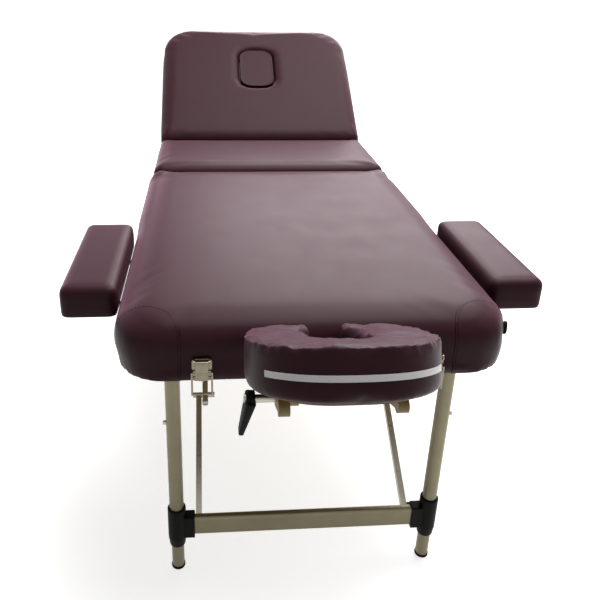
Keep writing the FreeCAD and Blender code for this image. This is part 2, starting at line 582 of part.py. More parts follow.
# prop under the backrest: a board with a foot rod that runs along two notched racks
PROP_X = ("-prop_half_w", "prop_half_w")
pieces = [
    box("prop_plate", PROP_X, ("0", "prop_len - prop_rod_r"), ("-prop_t / 2", "prop_t / 2")),
    across("prop_top", PROP_X, "0", "0", "prop_t / 2"),
    across("prop_pin", PROP_X, "0", "0", "prop_pin_r", "(prop_lug_gap + prop_lug_t + prop_pin_end)"),
    across("prop_foot", ("-rack_out", "rack_out"), "prop_len", "0", "prop_rod_r", "prop_rod_end"),
]
keep("prop_board", fuse("prop_board", pieces), "prop_turn", ("prop_y", "prop_z"))
racks = []
for side, hand in SIDES:
    x = pair("rack_in", "rack_out", side)
    bar = box("rack_" + hand, x, ("back_y + rack_front", "pocket_end - rail_t"),
              ("under_z + block_inset", "deck_low - rack_seat_gap"))
    slope = box("rack_slope_" + hand, (x[0] + " - over", x[1] + " + over"), ("0", "half_len"), ("0", "rail_h"))
    slope.Placement = FreeCAD.Placement(V(0, 0, 0), FreeCAD.Rotation(V(1, 0, 0), -10))
    bind(slope, "Placement.Rotation.Angle", "-prop_line")
    bind(slope, "Placement.Base.x", x[0] + " - over")
    bind(slope, "Placement.Base.y", "back_y")
    bind(slope, "Placement.Base.z", "back_z - (prop_rod_r + rack_gap) / cos(prop_line * 1 deg)")
    tools = [slope]
    for step in range(RACK_NOTCHES):
        reach_out = "(rack_front + notch_first + %d * notch_pitch)" % step
        tools.append(across("notch_%s_%d" % (hand, step), x,
                            "back_y + %s * cos(prop_line * 1 deg)" % reach_out,
                            "back_z - %s * sin(prop_line * 1 deg) - prop_rod_r - rack_gap" % reach_out,
                            "notch_r", "over"))
    racks.append(cut("rack_cut_" + hand, bar, tools))
keep("prop_racks", fuse("prop_racks", racks))

# latches on the front apron, keepers on the rear end
bases = []
keepers = []
LATCH_Y = "-half_len - lever_y"
for side, hand in SIDES:
    c = spot(side, "latch_x")
    plate = box("latch_plate_" + hand, (c + " - latch_half", c + " + latch_half"),
                ("-half_len - latch_t", "-half_len"), ("latch_z", "latch_z + latch_h"))
    pieces = [rounded("latch_round_" + hand, plate, "latch_r", runs("Y"))]
    for turn in (-1, 1):
        ear = pair("ear_in", "ear_in + ear_th", turn)
        ear_x = ("%s + %s" % (c, ear[0]), "%s + %s" % (c, ear[1]))
        pieces.append(box("latch_ear_%s_%d" % (hand, turn + 1), ear_x, (LATCH_Y, "-half_len"),
                          ("lever_z - latch_ear_half", "lever_z + latch_ear_half")))
        pieces.append(across("latch_eye_%s_%d" % (hand, turn + 1), ear_x, LATCH_Y, "lever_z",
                             "latch_ear_half"))
    bore_x = (c + " - latch_half", c + " + latch_half")
    bore = across("latch_bore_" + hand, bore_x, LATCH_Y, "lever_z", "lever_pin_r + run_gap")
    bases.append(cut("latch_base_" + hand, fuse("latch_solid_" + hand, pieces), [bore]))
    lever_x = (c + " - lever_half", c + " + lever_half")
    lever = box("lever_plate_" + hand, lever_x,
                (LATCH_Y + " - lever_t / 2", LATCH_Y + " + lever_t / 2"), ("lever_z - lever_len", "lever_z"))
    low_end = got("lever_z") - got("lever_len")
    lever = rounded("lever_round_" + hand, lever, "lever_r", both(runs("Y"), lies_at("Z", low_end)))
    pieces = [
        lever,
        across("lever_barrel_" + hand, lever_x, LATCH_Y, "lever_z", "lever_boss"),
        across("lever_boss_" + hand, lever_x, LATCH_Y, "bail_z", "lever_boss"),
        across("lever_pin_" + hand, (c + " - ear_in - ear_th", c + " + ear_in + ear_th"), LATCH_Y,
               "lever_z", "lever_pin_r"),
    ]
    bore = across("lever_bore_" + hand, lever_x, LATCH_Y, "bail_z", "bail_r + run_gap", "over")
    keep("latch_lever_" + hand, cut("latch_lever_" + hand, fuse("lever_solid_" + hand, pieces), [bore]))
    wires = []
    for name, z in (("top", "bail_z"), ("low", "bail_z - bail_drop")):
        wires.append(across("bail_%s_%s" % (name, hand), (c + " - bail_x", c + " + bail_x"), LATCH_Y, z,
                            "bail_r"))
    for turn in (-1, 1):
        wires.append(upward("bail_side_%s_%d" % (hand, turn + 1), "%s + %d * bail_x" % (c, turn), LATCH_Y,
                            ("bail_z - bail_drop", "bail_z"), "bail_side_r", "bail_side_r"))
    keep("latch_bail_" + hand, fuse("latch_bail_" + hand, wires))
    keeper_x = (c + " - keeper_half", c + " + keeper_half")
    keepers.append(fuse("keeper_" + hand, [
        box("keeper_plate_" + hand, keeper_x, ("half_len", "half_len + keeper_t"),
            ("keeper_z", "keeper_z + keeper_h")),
        box("keeper_shelf_" + hand, keeper_x, ("half_len", "half_len + keeper_t + keeper_hook"),
            ("keeper_z", "keeper_z + keeper_t")),
        box("keeper_lip_" + hand, keeper_x, ("half_len + keeper_hook", "half_len + keeper_t + keeper_hook"),
            ("keeper_z", "keeper_z + keeper_lip")),
    ]))
keep("latch_bases", fuse("latch_bases", bases))
keep("latch_keepers", fuse("latch_keepers", keepers))

# rubber bumpers on the right-hand side: one by the fold, one on the rounded corner
for half, tag in ((-1, "main"), (1, "back")):
    turned = FreeCAD.Rotation(V(0, 0, 1), half * got("bumper_turn"))
    corner = ("half_w - corner_r + corner_r * cos(bumper_turn * 1 deg)",
              spot(half, "half_len - corner_r + corner_r * sin(bumper_turn * 1 deg)"))
    feet = []
    for (x, y), turn in ((("half_w", spot(half, "bumper_fold")), ACROSS), (corner, turned * ACROSS)):
        disc = rod("bumper_%s_%d" % (tag, len(feet)), UP, ("0", "0", "0"), "bumper_r", "bumper_t")
        foot = rounded("bumper_round_%s_%d" % (tag, len(feet)), disc, "bumper_round",
                       lies_at("Z", got("bumper_t")))
        foot.Placement = FreeCAD.Placement(V(0, 0, 0), turn)
        place(foot, x, y, "under_z + bumper_%s_up" % tag)
        feet.append(foot)
    keep("bumpers_" + tag, fuse("bumpers_" + tag, feet))

# armrests: a pad on a plate with two rods that push into the side rail
for side, hand in SIDES:
    y = ("-half_len + arm_start", "-half_len + arm_start + arm_len")
    slab = box("arm_slab_" + hand, pair("arm_in_x", "arm_in_x + arm_w", side), y, ("arm_low_z", "arm_top_z"))
    keep("arm_pad_" + hand, rounded("arm_pad_" + hand, slab, "arm_r",
                                    lambda e: e.BoundBox.ZMax > got("arm_low_z") + TINY))
    plate_x = pair("arm_in_x + arm_plate_inset", "arm_in_x + arm_w - arm_plate_inset", side)
    pieces = [block("arm_plate_" + hand, plate_x,
                    (y[0] + " + arm_plate_inset", y[1] + " - arm_plate_inset"),
                    ("arm_low_z - arm_plate_t", "arm_low_z"), "arm_plate_r", "arm_plate_r", 1)]
    rod_x = pair("half_w - arm_rod_in", "arm_in_x + arm_w - arm_plate_inset", side)
    for n, rod_y in enumerate(ARM_RODS):
        pieces.append(across("arm_rod_%s_%d" % (hand, n), rod_x, rod_y, "arm_rod_z", "arm_rod_r"))
    keep("arm_frame_" + hand, fuse("arm_frame_" + hand, pieces))

# headrest: two posts in the end rail carry wooden arms, with a pivot bolt through each tip
rods = []
arms = []
for side, hand in SIDES:
    bolt_end = "pivot_left" if side < 0 else "pivot_right"
    rods.append(across("head_bolt_" + hand, pair("head_arm_in", bolt_end, side), "head_y", "head_z",
                       "head_rod_r"))
    post_y = ("-half_len - post_out", "-half_len + head_rod_in")
    rods.append(along("head_post_" + hand, spot(side, "head_rod_x"), post_y, "post_z", "head_rod_r"))
    x = pair("head_arm_in", "head_arm_in + head_arm_t", side)
    web = taper("head_web_" + hand, STAND, x + ("-head_root_r", "head_root_r"),
                x + ("-head_boss_r", "head_boss_r"), "head_arm_len")
    place(web, "0", "head_root_y", "post_z")
    bind(web, "Placement.Rotation.Angle", "180 deg - head_arm_rise")
    pieces = [
        web,
        across("head_root_" + hand, x, "head_root_y", "post_z", "head_root_r"),
        across("head_boss_" + hand, x, "head_y", "head_z", "head_boss_r"),
    ]
    bores = [
        across("head_tip_bore_" + hand, x, "head_y", "head_z", "head_rod_r + run_gap", "over"),
        along("head_post_bore_" + hand, spot(side, "head_rod_x"), ("-half_len - post_out", "-half_len"),
              "post_z", "head_rod_r + run_gap"),
    ]
    arms.append(cut("head_arm_" + hand, fuse("head_arm_solid_" + hand, pieces), bores))
keep("head_rods", fuse("head_rods", rods))
keep("head_arms", fuse("head_arms", arms))

# headrest platform and cushion: a horseshoe drawn flat round the pivot bolts, then tilted
TILT = ("-head_tilt", ("head_y", "head_z"))


def horseshoe(name, inset, tall, corner):
    x = ("-head_half_w + %s" % inset, "head_half_w - %s" % inset)
    y = ("-head_front + %s" % inset, "head_rear - %s" % inset)
    return block(name + "_outer", x, y, tall, corner, corner, -1)


def face_gap(name, body, tall):
    tall = ("%s - over" % tall[0], "%s + over" % tall[1])
    face = block(name + "_face", ("-face_half_w", "face_half_w"), ("-face_front", "face_rear"), tall,
                 "face_r", "face_r", -1)
    gap = box(name + "_gap", ("-gap_half_w", "gap_half_w"), ("0", "head_rear + over"), tall)
    return cut(name, body, [face, gap])


tall = ("head_under", "head_low")
pieces = [face_gap("platform", horseshoe("platform", "head_board_inset", tall, "head_board_r"), tall)]
for side, hand in SIDES:
    x = pair("head_lug_in", "head_lug_in + head_lug_t", side)
    pieces += [
        box("head_lug_" + hand, x, ("-head_lug_nose", "0"), ("-head_lug_r", "head_under")),
        box("head_heel_" + hand, x, ("0", "head_lug_r"), ("0", "head_under")),
        across("head_eye_" + hand, x, "0", "0", "head_lug_r"),
        across("head_nose_" + hand, x, "-head_lug_nose", "-head_nose_low", "head_lug_r"),
    ]
bore = across("head_eye_bore", ("-head_half_w", "head_half_w"), "0", "0", "head_rod_r + run_gap")
keep("head_board", cut("head_board", fuse("head_board_solid", pieces), [bore]), *TILT)
tall = ("head_low", "head_low + head_t")
cushion = horseshoe("head_cushion", "0", tall, "head_corner_r")
cushion = rounded("head_soft", cushion, "head_edge_r", lies_at("Z", got("head_low") + got("head_t")))
keep("head_cushion", face_gap("head_cushion", cushion, tall), *TILT)

# cam lever on the left pivot bolt: a hub with a blade that narrows to a round tip
lever_x = ("-lever_in - lever_w", "-lever_in")
blade = taper("lever_blade", ALONG, lever_x + ("-lever_d / 2", "lever_d / 2"),
              lever_x + ("-lever_tip_d / 2", "lever_tip_d / 2"), "lever_reach")
pieces = [
    across("lever_hub", lever_x, "0", "0", "lever_boss_r"),
    blade,
    across("lever_tip", lever_x, "0", "-lever_reach", "lever_tip_d / 2"),
]
bore = across("lever_hub_bore", lever_x, "0", "0", "head_rod_r + run_gap", "over")
keep("head_lever", cut("head_lever", fuse("lever_body", pieces), [bore]), "lever_lean", ("head_y", "head_z"))

# centre the whole table over the origin, check every object and write the pieces
doc.recompute()
low = []
high = []
for obj in nodes.values():
    points = obj.Shape.tessellate(FINE)[0]
    low.append(min(p.y for p in points))
    high.append(max(p.y for p in points))
dims.set("B%d" % (aliases.index("centre_shift") + 1), "%.4f" % (-(min(low) + max(high)) / 2))
doc.recompute()
for obj in doc.Objects:
    bad = [s for s in obj.State if s in ("Invalid", "Error")]
    if bad:
        raise RuntimeError("%s (%s): %s" % (obj.Label, obj.Name, bad))
for node, obj in nodes.items():
    shape = obj.Shape
    if shape.isNull() or not shape.isValid() or not shape.Solids:
        raise RuntimeError("bad shape: " + node)
os.makedirs("parts", exist_ok=True)
for node, obj in nodes.items():
    obj.Shape.exportStep("parts/%s.step" % node)
print("pieces", len(nodes), "shift", got("centre_shift"))
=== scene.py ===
# %% [markdown]
# # A folding massage table
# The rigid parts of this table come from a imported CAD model, which is loaded as a fixed frame in metres.
# What is left for Blender is what CAD does poorly: stuffed upholstery, sewn seams, small fasteners and
# the finish of every surface. The bodies of the frame carry each new piece, so it moves when they move.

# %% Load the frame
import json
import math
import bpy
import numpy as np
from mathutils import Matrix, Vector

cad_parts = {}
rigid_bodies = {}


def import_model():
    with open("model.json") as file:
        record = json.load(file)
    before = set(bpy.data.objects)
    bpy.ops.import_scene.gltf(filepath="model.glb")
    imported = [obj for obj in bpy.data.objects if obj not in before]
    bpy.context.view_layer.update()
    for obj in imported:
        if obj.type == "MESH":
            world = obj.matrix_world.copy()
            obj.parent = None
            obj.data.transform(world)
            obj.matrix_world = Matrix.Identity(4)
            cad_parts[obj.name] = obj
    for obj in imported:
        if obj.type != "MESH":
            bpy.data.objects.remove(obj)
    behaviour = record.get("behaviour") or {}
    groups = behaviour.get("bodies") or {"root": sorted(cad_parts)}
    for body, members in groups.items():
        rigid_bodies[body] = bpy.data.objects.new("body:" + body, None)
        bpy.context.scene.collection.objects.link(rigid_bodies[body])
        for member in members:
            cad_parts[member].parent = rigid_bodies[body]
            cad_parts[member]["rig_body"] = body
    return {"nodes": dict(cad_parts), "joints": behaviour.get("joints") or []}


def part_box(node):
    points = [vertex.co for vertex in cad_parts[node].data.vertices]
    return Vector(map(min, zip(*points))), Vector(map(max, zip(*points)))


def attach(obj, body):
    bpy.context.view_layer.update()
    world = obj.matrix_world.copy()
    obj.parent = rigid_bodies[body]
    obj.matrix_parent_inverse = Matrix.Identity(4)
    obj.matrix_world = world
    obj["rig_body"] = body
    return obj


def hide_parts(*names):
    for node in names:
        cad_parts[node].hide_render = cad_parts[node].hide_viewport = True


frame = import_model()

nodes = frame["nodes"]
joints = {joint["name"]: joint for joint in frame["joints"]}
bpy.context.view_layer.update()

# %% [markdown]
# Most edits here are done by selecting part of a mesh and calling an operator on it, as by hand. The
# helpers below only take care of the selecting: everything is let go first, and then points, edges or
# faces are chosen by where they lie.

# %% Selecting helpers
MM = 0.001


def take(*objects):
    """Select only these objects, the last one active."""
    bpy.ops.object.select_all(action="DESELECT")
    for obj in objects:
        obj.select_set(True)
    bpy.context.view_layer.objects.active = objects[-1]


def mark(obj, parts, test):
    """In object mode, select the vertices, edges or faces of a mesh that pass a test."""
    mesh = obj.data
    for group in (mesh.vertices, mesh.edges, mesh.polygons):
        group.foreach_set("select", [False] * len(group))
    chosen = [test(part) for part in getattr(mesh, parts)]
    getattr(mesh, parts).foreach_set("select", chosen)
    return sum(chosen)


def edit(obj, kind, operations, parts=None, test=None):
    """Run edit mode operators on all of a mesh, or on the parts that pass a test."""
    take(obj)
    if test:
        mark(obj, parts, test)
    bpy.ops.object.mode_set(mode="EDIT")
    bpy.ops.mesh.select_mode(type=kind)
    if not test:
        bpy.ops.mesh.select_all(action="SELECT")
    for operation in operations:
        operation()
    bpy.ops.object.mode_set(mode="OBJECT")


def settle(obj, modifier=None):
    """Apply a modifier, or the object's own place, so that the place is in the mesh."""
    take(obj)
    if modifier:
        bpy.ops.object.modifier_apply(modifier=modifier)
    else:
        bpy.ops.object.transform_apply(location=True, rotation=True, scale=True)


def dress(obj, name, body, material):
    """Name a finished piece, give it its material, and let it ride on a body."""
    obj.name = name
    obj.data.name = name
    obj.data.materials.clear()
    obj.data.materials.append(material)
    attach(obj, body)
    print("piece", name, len(obj.data.polygons), "faces on", body)


# %% [markdown]
# ## Finishes
# Each material starts from the real thing: what it is called and how its surface was made. Colours are
# written as they would be read from a screen and are turned to linear light by one function. Pattern
# sizes are real millimetres: a texture's scale of 1 is one repeat per metre here, so a repeat of s
# millimetres is a scale of 1000 / s.

# %% Colour and node helpers


def linear(code):
    """A colour as read from a screen, such as #a09b8d, in linear light."""
    channels = [int(code[i:i + 2], 16) / 255 for i in (1, 3, 5)]
    bent = [c / 12.92 if c <= 0.04045 else ((c + 0.055) / 1.055) ** 2.4 for c in channels]
    return (*bent, 1.0)


def per_metre(size_mm):
    """The texture scale at which a pattern repeats after a size in millimetres."""
    return 1000 / size_mm


def wire(material, kind, settings, sockets):
    """Add one node with its settings, and set or link its sockets."""
    node = material.node_tree.nodes.new(kind)
    for key, value in settings.items():
        setattr(node, key, value)
    for key, value in sockets.items():
        if isinstance(value, bpy.types.NodeSocket):
            material.node_tree.links.new(value, node.inputs[key])
        else:
            node.inputs[key].default_value = value
    return node


def start(name, **look):
    """A new material with its shader's plain sockets set, and the object's own coordinates."""
    material = bpy.data.materials.new(name)
    material.use_nodes = True
    shader = material.node_tree.nodes["Principled BSDF"]
    for key, value in look.items():
        shader.inputs[key.replace("_", " ")].default_value = value
    place = wire(material, "ShaderNodeTexCoord", {}, {}).outputs["Object"]
    print("material", name)
    return material, shader, place


def join(material, shader, **sockets):
    """Link node outputs to a shader's sockets by name."""
    for key, socket in sockets.items():
        material.node_tree.links.new(socket, shader.inputs[key.replace("_", " ")])


# %% [markdown]
# Polyurethane leather: a cloth backing with a coloured skin that was pressed with a fine pebble grain.
# The eye sees a very dark wine red, and a pale mauve sheen wherever the surface lies flat to the light,
# because the pressed grain scatters it at low angles. On top of that, the sheen is painted by facing:
# it is full on the faces that look up and faint where the skin turns down the sides, a painted highlight
# on the tops and painted shade on the flanks. The grain is about 1.6 mm, and the foam under it gives
# slow waves of about 60 mm.

# %% Polyurethane leather
GRAIN_MM = 1.6
WAVE_MM = 60


def pressed_leather(name, dark, light):
    """Polyurethane leather between two tones, with pebble grain, slow waves and a sheen painted on upward
    faces.
    """
    material, shader, place = start(name, IOR=1.45, Specular_IOR_Level=0.1, Sheen_Roughness=0.38,
                                    Sheen_Tint=linear("#dba3be"))
    turned = wire(material, "ShaderNodeSeparateXYZ", {}, {"Vector": place.node.outputs["Normal"]})
    # Painted highlight and shade: the sheen weight rises with the normal's z, so the tops shine and the
    # flanks stay dark.
    painted_sheen = wire(material, "ShaderNodeMapRange", {"interpolation_type": "SMOOTHSTEP"}, {
        "Value": turned.outputs["Z"], "From Min": 0.3, "From Max": 0.8, "To Min": 0.05, "To Max": 0.72})
    waves = wire(material, "ShaderNodeTexNoise", {}, {
        "Vector": place, "Scale": per_metre(WAVE_MM), "Detail": 3.0, "Roughness": 0.55})
    tone = wire(material, "ShaderNodeMix", {"data_type": "RGBA"}, {
        "Factor": waves.outputs["Fac"], 6: linear(dark), 7: linear(light)})
    pebble = wire(material, "ShaderNodeTexVoronoi", {"feature": "SMOOTH_F1"}, {
        "Vector": place, "Scale": per_metre(GRAIN_MM), "Smoothness": 0.6})
    wear = wire(material, "ShaderNodeMapRange", {}, {
        "Value": waves.outputs["Fac"], "From Min": 0.3, "From Max": 0.7, "To Min": 0.38, "To Max": 0.44})
    swell = wire(material, "ShaderNodeBump", {}, {
        "Height": waves.outputs["Fac"], "Strength": 0.1, "Distance": 2 * MM})
    grain = wire(material, "ShaderNodeBump", {"invert": True}, {
        "Height": pebble.outputs["Distance"], "Strength": 0.35, "Distance": 0.25 * MM,
        "Normal": swell.outputs["Normal"]})
    join(material, shader, Base_Color=tone.outputs[2], Roughness=wear.outputs["Result"],
         Sheen_Weight=painted_sheen.outputs["Result"], Normal=grain.outputs["Normal"])
    return material


leather = pressed_leather("pressed_pu_leather_wine", "#2f161b", "#391d24")

# %% [markdown]
# Satin anodised aluminium: drawn tube and flat bar, etched matt and dyed a dull champagne. Drawing the
# metal leaves fine lines along it, so the noise is stretched: short across the tube, long along it. The
# real lines are too fine to show, so they are drawn as coarse as 2 mm.

# %% Satin anodised aluminium
LINE_MM = 2
STRETCH = 90
CLOUD_MM = 45


def anodised(name, along):
    """Drawn aluminium with its lines along one axis."""
    material, shader, place = start(name, Metallic=1.0)
    scale = [per_metre(LINE_MM)] * 3
    scale["xyz".index(along)] /= STRETCH
    lines = wire(material, "ShaderNodeMapping", {}, {"Vector": place, "Scale": scale})
    drawn = wire(material, "ShaderNodeTexNoise", {}, {
        "Vector": lines.outputs[0], "Scale": 1.0, "Detail": 2.0})
    cloud = wire(material, "ShaderNodeTexNoise", {}, {
        "Vector": place, "Scale": per_metre(CLOUD_MM), "Detail": 2.0})
    tone = wire(material, "ShaderNodeMix", {"data_type": "RGBA"}, {
        "Factor": cloud.outputs["Fac"], 6: linear("#69634f"), 7: linear("#77715d")})
    gloss = wire(material, "ShaderNodeMapRange", {}, {
        "Value": drawn.outputs["Fac"], "To Min": 0.28, "To Max": 0.46})
    bump = wire(material, "ShaderNodeBump", {}, {
        "Height": drawn.outputs["Fac"], "Strength": 0.15, "Distance": 0.05 * MM})
    join(material, shader, Base_Color=tone.outputs[2], Roughness=gloss.outputs["Result"],
         Normal=bump.outputs["Normal"])
    return material


tube_metal = anodised("satin_anodised_aluminium_tube", "z")
bar_metal = anodised("satin_anodised_aluminium_bar", "x")

# %% [markdown]
# Birch plywood: thin veneers glued crosswise, so its faces show long grain and its sawn edges show
# stripes. The stripes are banded along the board's thickness, drawn broad here so that they read from
# a distance, and the grain is a noise drawn out along the board's length. Both are weak, because the
# boards are lacquered and pale. A board that stands at an angle shows the grain alone.

# %% Birch plywood
STRIPE_MM = 9.425
WAVE_TURNS = 20 / (2 * math.pi)  # the bands per metre of a wave texture at a scale of 1
GRAIN_ACROSS_MM = 3
GRAIN_STRETCH = 18


def plywood(name, thickness, length, stripes):
    """Lacquered wood with its stripes through one axis and its grain along another."""
    material, shader, place = start(name, IOR=1.5, Specular_IOR_Level=0.35)
    scale = [per_metre(GRAIN_ACROSS_MM)] * 3
    scale["xyz".index(length)] /= GRAIN_STRETCH
    drawn = wire(material, "ShaderNodeMapping", {}, {"Vector": place, "Scale": scale})
    grain = wire(material, "ShaderNodeTexNoise", {}, {
        "Vector": drawn.outputs[0], "Scale": 1.0, "Detail": 4.0, "Roughness": 0.6, "Distortion": 0.4})
    banding = {"wave_type": "BANDS", "bands_direction": thickness.upper()}
    bands = wire(material, "ShaderNodeTexWave", banding, {
        "Vector": place, "Scale": per_metre(STRIPE_MM) / WAVE_TURNS, "Distortion": 0.6, "Detail": 1.0})
    face = wire(material, "ShaderNodeMix", {"data_type": "RGBA"}, {
        "Factor": grain.outputs["Fac"], 6: linear("#8a7550"), 7: linear("#b09a70")})
    weight = wire(material, "ShaderNodeMath", {"operation": "MULTIPLY"}, {
        0: bands.outputs["Fac"], 1: stripes})
    edge = wire(material, "ShaderNodeMix", {"data_type": "RGBA"}, {
        "Factor": weight.outputs[0], 6: face.outputs[2], 7: linear("#6d5836")})
    gloss = wire(material, "ShaderNodeMapRange", {}, {
        "Value": grain.outputs["Fac"], "To Min": 0.42, "To Max": 0.6})
    bump = wire(material, "ShaderNodeBump", {}, {
        "Height": grain.outputs["Fac"], "Strength": 0.2, "Distance": 0.2 * MM})
    join(material, shader, Base_Color=edge.outputs[2], Roughness=gloss.outputs["Result"],
         Normal=bump.outputs["Normal"])
    return material


deck_wood = plywood("lacquered_birch_plywood_deck", "z", "y", 0.35)
rail_wood = plywood("lacquered_birch_rail", "x", "y", 0.2)
board_wood = plywood("lacquered_birch_board", "x", "y", 0.0)

# %% [markdown]
# The smaller finishes. Zinc-plated steel is pale grey with faint clouds. Nickel-plated steel is the same
# kind of metal, darker here and a little yellow. Moulded nylon is black with a fine spark-eroded
# texture, rubber is nearly the same colour and duller, and tape and thread are woven and spun fibre.
# One function covers them: clouds of a given size that move the tone, the gloss and the bump together.

# %% Plated steel, nylon, rubber and fibre


def speckled(name, low, high, size_mm, rough, depth_mm, **look):
    """A finish between two tones, with clouds of a size, a range of roughness and a depth of bump."""
    material, shader, place = start(name, **look)
    spots = wire(material, "ShaderNodeTexNoise", {}, {
        "Vector": place, "Scale": per_metre(size_mm), "Detail": 5.0, "Roughness": 0.65})
    tone = wire(material, "ShaderNodeMix", {"data_type": "RGBA"}, {
        "Factor": spots.outputs["Fac"], 6: linear(low), 7: linear(high)})
    gloss = wire(material, "ShaderNodeMapRange", {}, {
        "Value": spots.outputs["Fac"], "From Min": 0.3, "From Max": 0.7,
        "To Min": rough[0], "To Max": rough[1]})
    bump = wire(material, "ShaderNodeBump", {}, {
        "Height": spots.outputs["Fac"], "Strength": 0.3, "Distance": depth_mm * MM})
    join(material, shader, Base_Color=tone.outputs[2], Roughness=gloss.outputs["Result"],
         Normal=bump.outputs["Normal"])
    return material


zinc = speckled("zinc_plated_steel", "#a09b8d", "#b9b4a6", 6, (0.25, 0.42), 0.05, Metallic=1.0)
nickel = speckled("nickel_plated_steel", "#6a6354", "#8c8574", 9, (0.16, 0.32), 0.04, Metallic=1.0)
nylon = speckled("moulded_black_nylon", "#080807", "#0f0f0d", 1.2, (0.45, 0.6), 0.12, IOR=1.53,
                 Specular_IOR_Level=0.07)
rubber = speckled("moulded_black_rubber", "#0a0a09", "#131211", 2.5, (0.65, 0.8), 0.1, IOR=1.52,
                  Specular_IOR_Level=0.07)
tape = speckled("woven_loop_tape_white", "#f2eaec", "#ffffff", 1.5, (0.6, 0.75), 0.3, IOR=1.5,
                Specular_IOR_Level=1.0, Sheen_Weight=1.0, Sheen_Roughness=0.5)
thread = speckled("polyester_thread_dark_wine", "#12070a", "#1d0d10", 0.8, (0.5, 0.7), 0.1, IOR=1.5,
                  Specular_IOR_Level=0.05)

# %% [markdown]
# ## Stuffed upholstery
# A real pad is foam under a tight skin: it crowns in the middle, its edges are soft, and it is flat
# only where it is stapled or rests on a board. Modelling that by hand is slow, so the CAD solid is
# copied, remeshed into even small faces and blown up a little as cloth with pressure inside. The parts
# that are held by the board or by a seam are pinned, and no point may move further than a small cap.

# %% Skin helpers


def skin(node, name):
    """A copy of a CAD node's mesh with its doubled points merged and its stored normals dropped."""
    pad = bpy.data.objects.new(name, nodes[node].data.copy())
    bpy.context.scene.collection.objects.link(pad)
    take(pad)
    bpy.ops.mesh.customdata_custom_splitnormals_clear()
    edit(pad, "VERT", [lambda: bpy.ops.mesh.remove_doubles(threshold=0.02 * MM)])
    return pad


def points_of(pad):
    """The points of a mesh as rows of x, y and z."""
    flat = np.empty(len(pad.data.vertices) * 3)
    pad.data.vertices.foreach_get("co", flat)
    return flat.reshape(-1, 3)


def relax(pad, rounds, where=None):
    """Smooth a pad, or the part of it that passes a test."""
    smooth = pad.modifiers.new("relax", "SMOOTH")
    smooth.iterations = rounds
    if where:
        group = pad.vertex_groups.new(name="relaxed")
        group.add([i for i, point in enumerate(points_of(pad)) if where(Vector(point))], 1.0, "REPLACE")
        smooth.vertex_group = group.name
    settle(pad, smooth.name)
    pad.vertex_groups.clear()


def even(pad, voxel, inset, rounds):
    """Remesh a pad into even faces, a little inside the skin that the pressure will fill."""
    pad.data.remesh_voxel_size = voxel
    take(pad)
    bpy.ops.object.voxel_remesh()
    edit(pad, "VERT", [lambda: bpy.ops.transform.shrink_fatten(value=-inset)])
    relax(pad, rounds)


def finished(pad):
    """Turn a pad's faces outwards and shade it smooth."""
    edit(pad, "VERT", [lambda: bpy.ops.mesh.normals_make_consistent(inside=False)])
    take(pad)
    bpy.ops.object.shade_smooth()
    return pad


# %% [markdown]
# The cloth runs for 20 steps, in which the pressure fills it.

# %% Cloth
STEPS = 20
STILL = 1e-9


def stuffed(pad, cap, pressure, held, calm, swell):
    """Blow a pad up as cloth, except where it is held, and no point further than the cap."""
    rest = points_of(pad)
    pins = pad.vertex_groups.new(name="held")
    pins.add([i for i, point in enumerate(rest) if held(Vector(point))], 1.0, "REPLACE")
    cloth = pad.modifiers.new("stuffing", "CLOTH")
    cloth.settings.quality = 4
    cloth.settings.vertex_group_mass = pins.name
    cloth.settings.use_pressure = True
    cloth.settings.uniform_pressure_force = pressure
    cloth.settings.effector_weights.gravity = 0
    cloth.collision_settings.use_collision = False
    for step in range(1, STEPS + 1):
        bpy.context.scene.frame_set(step)
    settle(pad, cloth.name)
    bpy.context.scene.frame_set(1)
    shift = points_of(pad) - rest
    far = np.linalg.norm(shift, axis=1, keepdims=True)
    shift *= np.minimum(1, cap / np.maximum(far, STILL))
    pad.data.vertices.foreach_set("co", (rest + shift).ravel())
    pad.vertex_groups.clear()
    print(pad.name, len(rest), "points, furthest", round(float(far.max()) / MM, 1), "mm before the cap")
    edit(pad, "VERT", [lambda: bpy.ops.transform.shrink_fatten(value=swell)], "vertices",
         lambda vertex: not held(vertex.co))
    relax(pad, calm)
    return finished(pad)


# %% [markdown]
# Some places stand out or crease more than pressure alone gives. They are pushed along the surface by a
# weight that fades, often with how deep a place lies inside the pad's rounded outline.

# %% Pushes and fades


def pushed(pad, name, strength, weight, noise_size=None):
    """Push a pad's skin out where the weight says, or in and out by a noise of some size."""
    group = pad.vertex_groups.new(name=name)
    for i, point in enumerate(points_of(pad)):
        group.add([i], weight(Vector(point)), "REPLACE")
    push = pad.modifiers.new(name, "DISPLACE")
    push.vertex_group = group.name
    push.strength = strength
    if noise_size:
        push.texture = bpy.data.textures.new(name, "CLOUDS")
        push.texture.noise_scale = noise_size
        push.texture_coords = "GLOBAL"
    else:
        push.mid_level = 0
    settle(pad, push.name)
    pad.vertex_groups.clear()


def depth(place, low, high, corner):
    """How deep a place lies inside the rounded outline of a block."""
    x, y = (abs(place[i] - (low[i] + high[i]) / 2) - (high[i] - low[i]) / 2 + corner for i in (0, 1))
    return corner - math.hypot(max(x, 0), max(y, 0)) - min(max(x, y), 0)


def ramp(value, low, high):
    """0 below a range, 1 above it, and a straight line between."""
    return min(1, max(0, (value - low) / (high - low)))


# %% [markdown]
# The two flat pads are trays turned over: foam on top, skirts round the wooden frame. The skin is
# pinned where it lies against the board and along the lower edge, where the real one is stapled.

# %% Trays
HOLD = 4 * MM
FOAM = 30 * MM


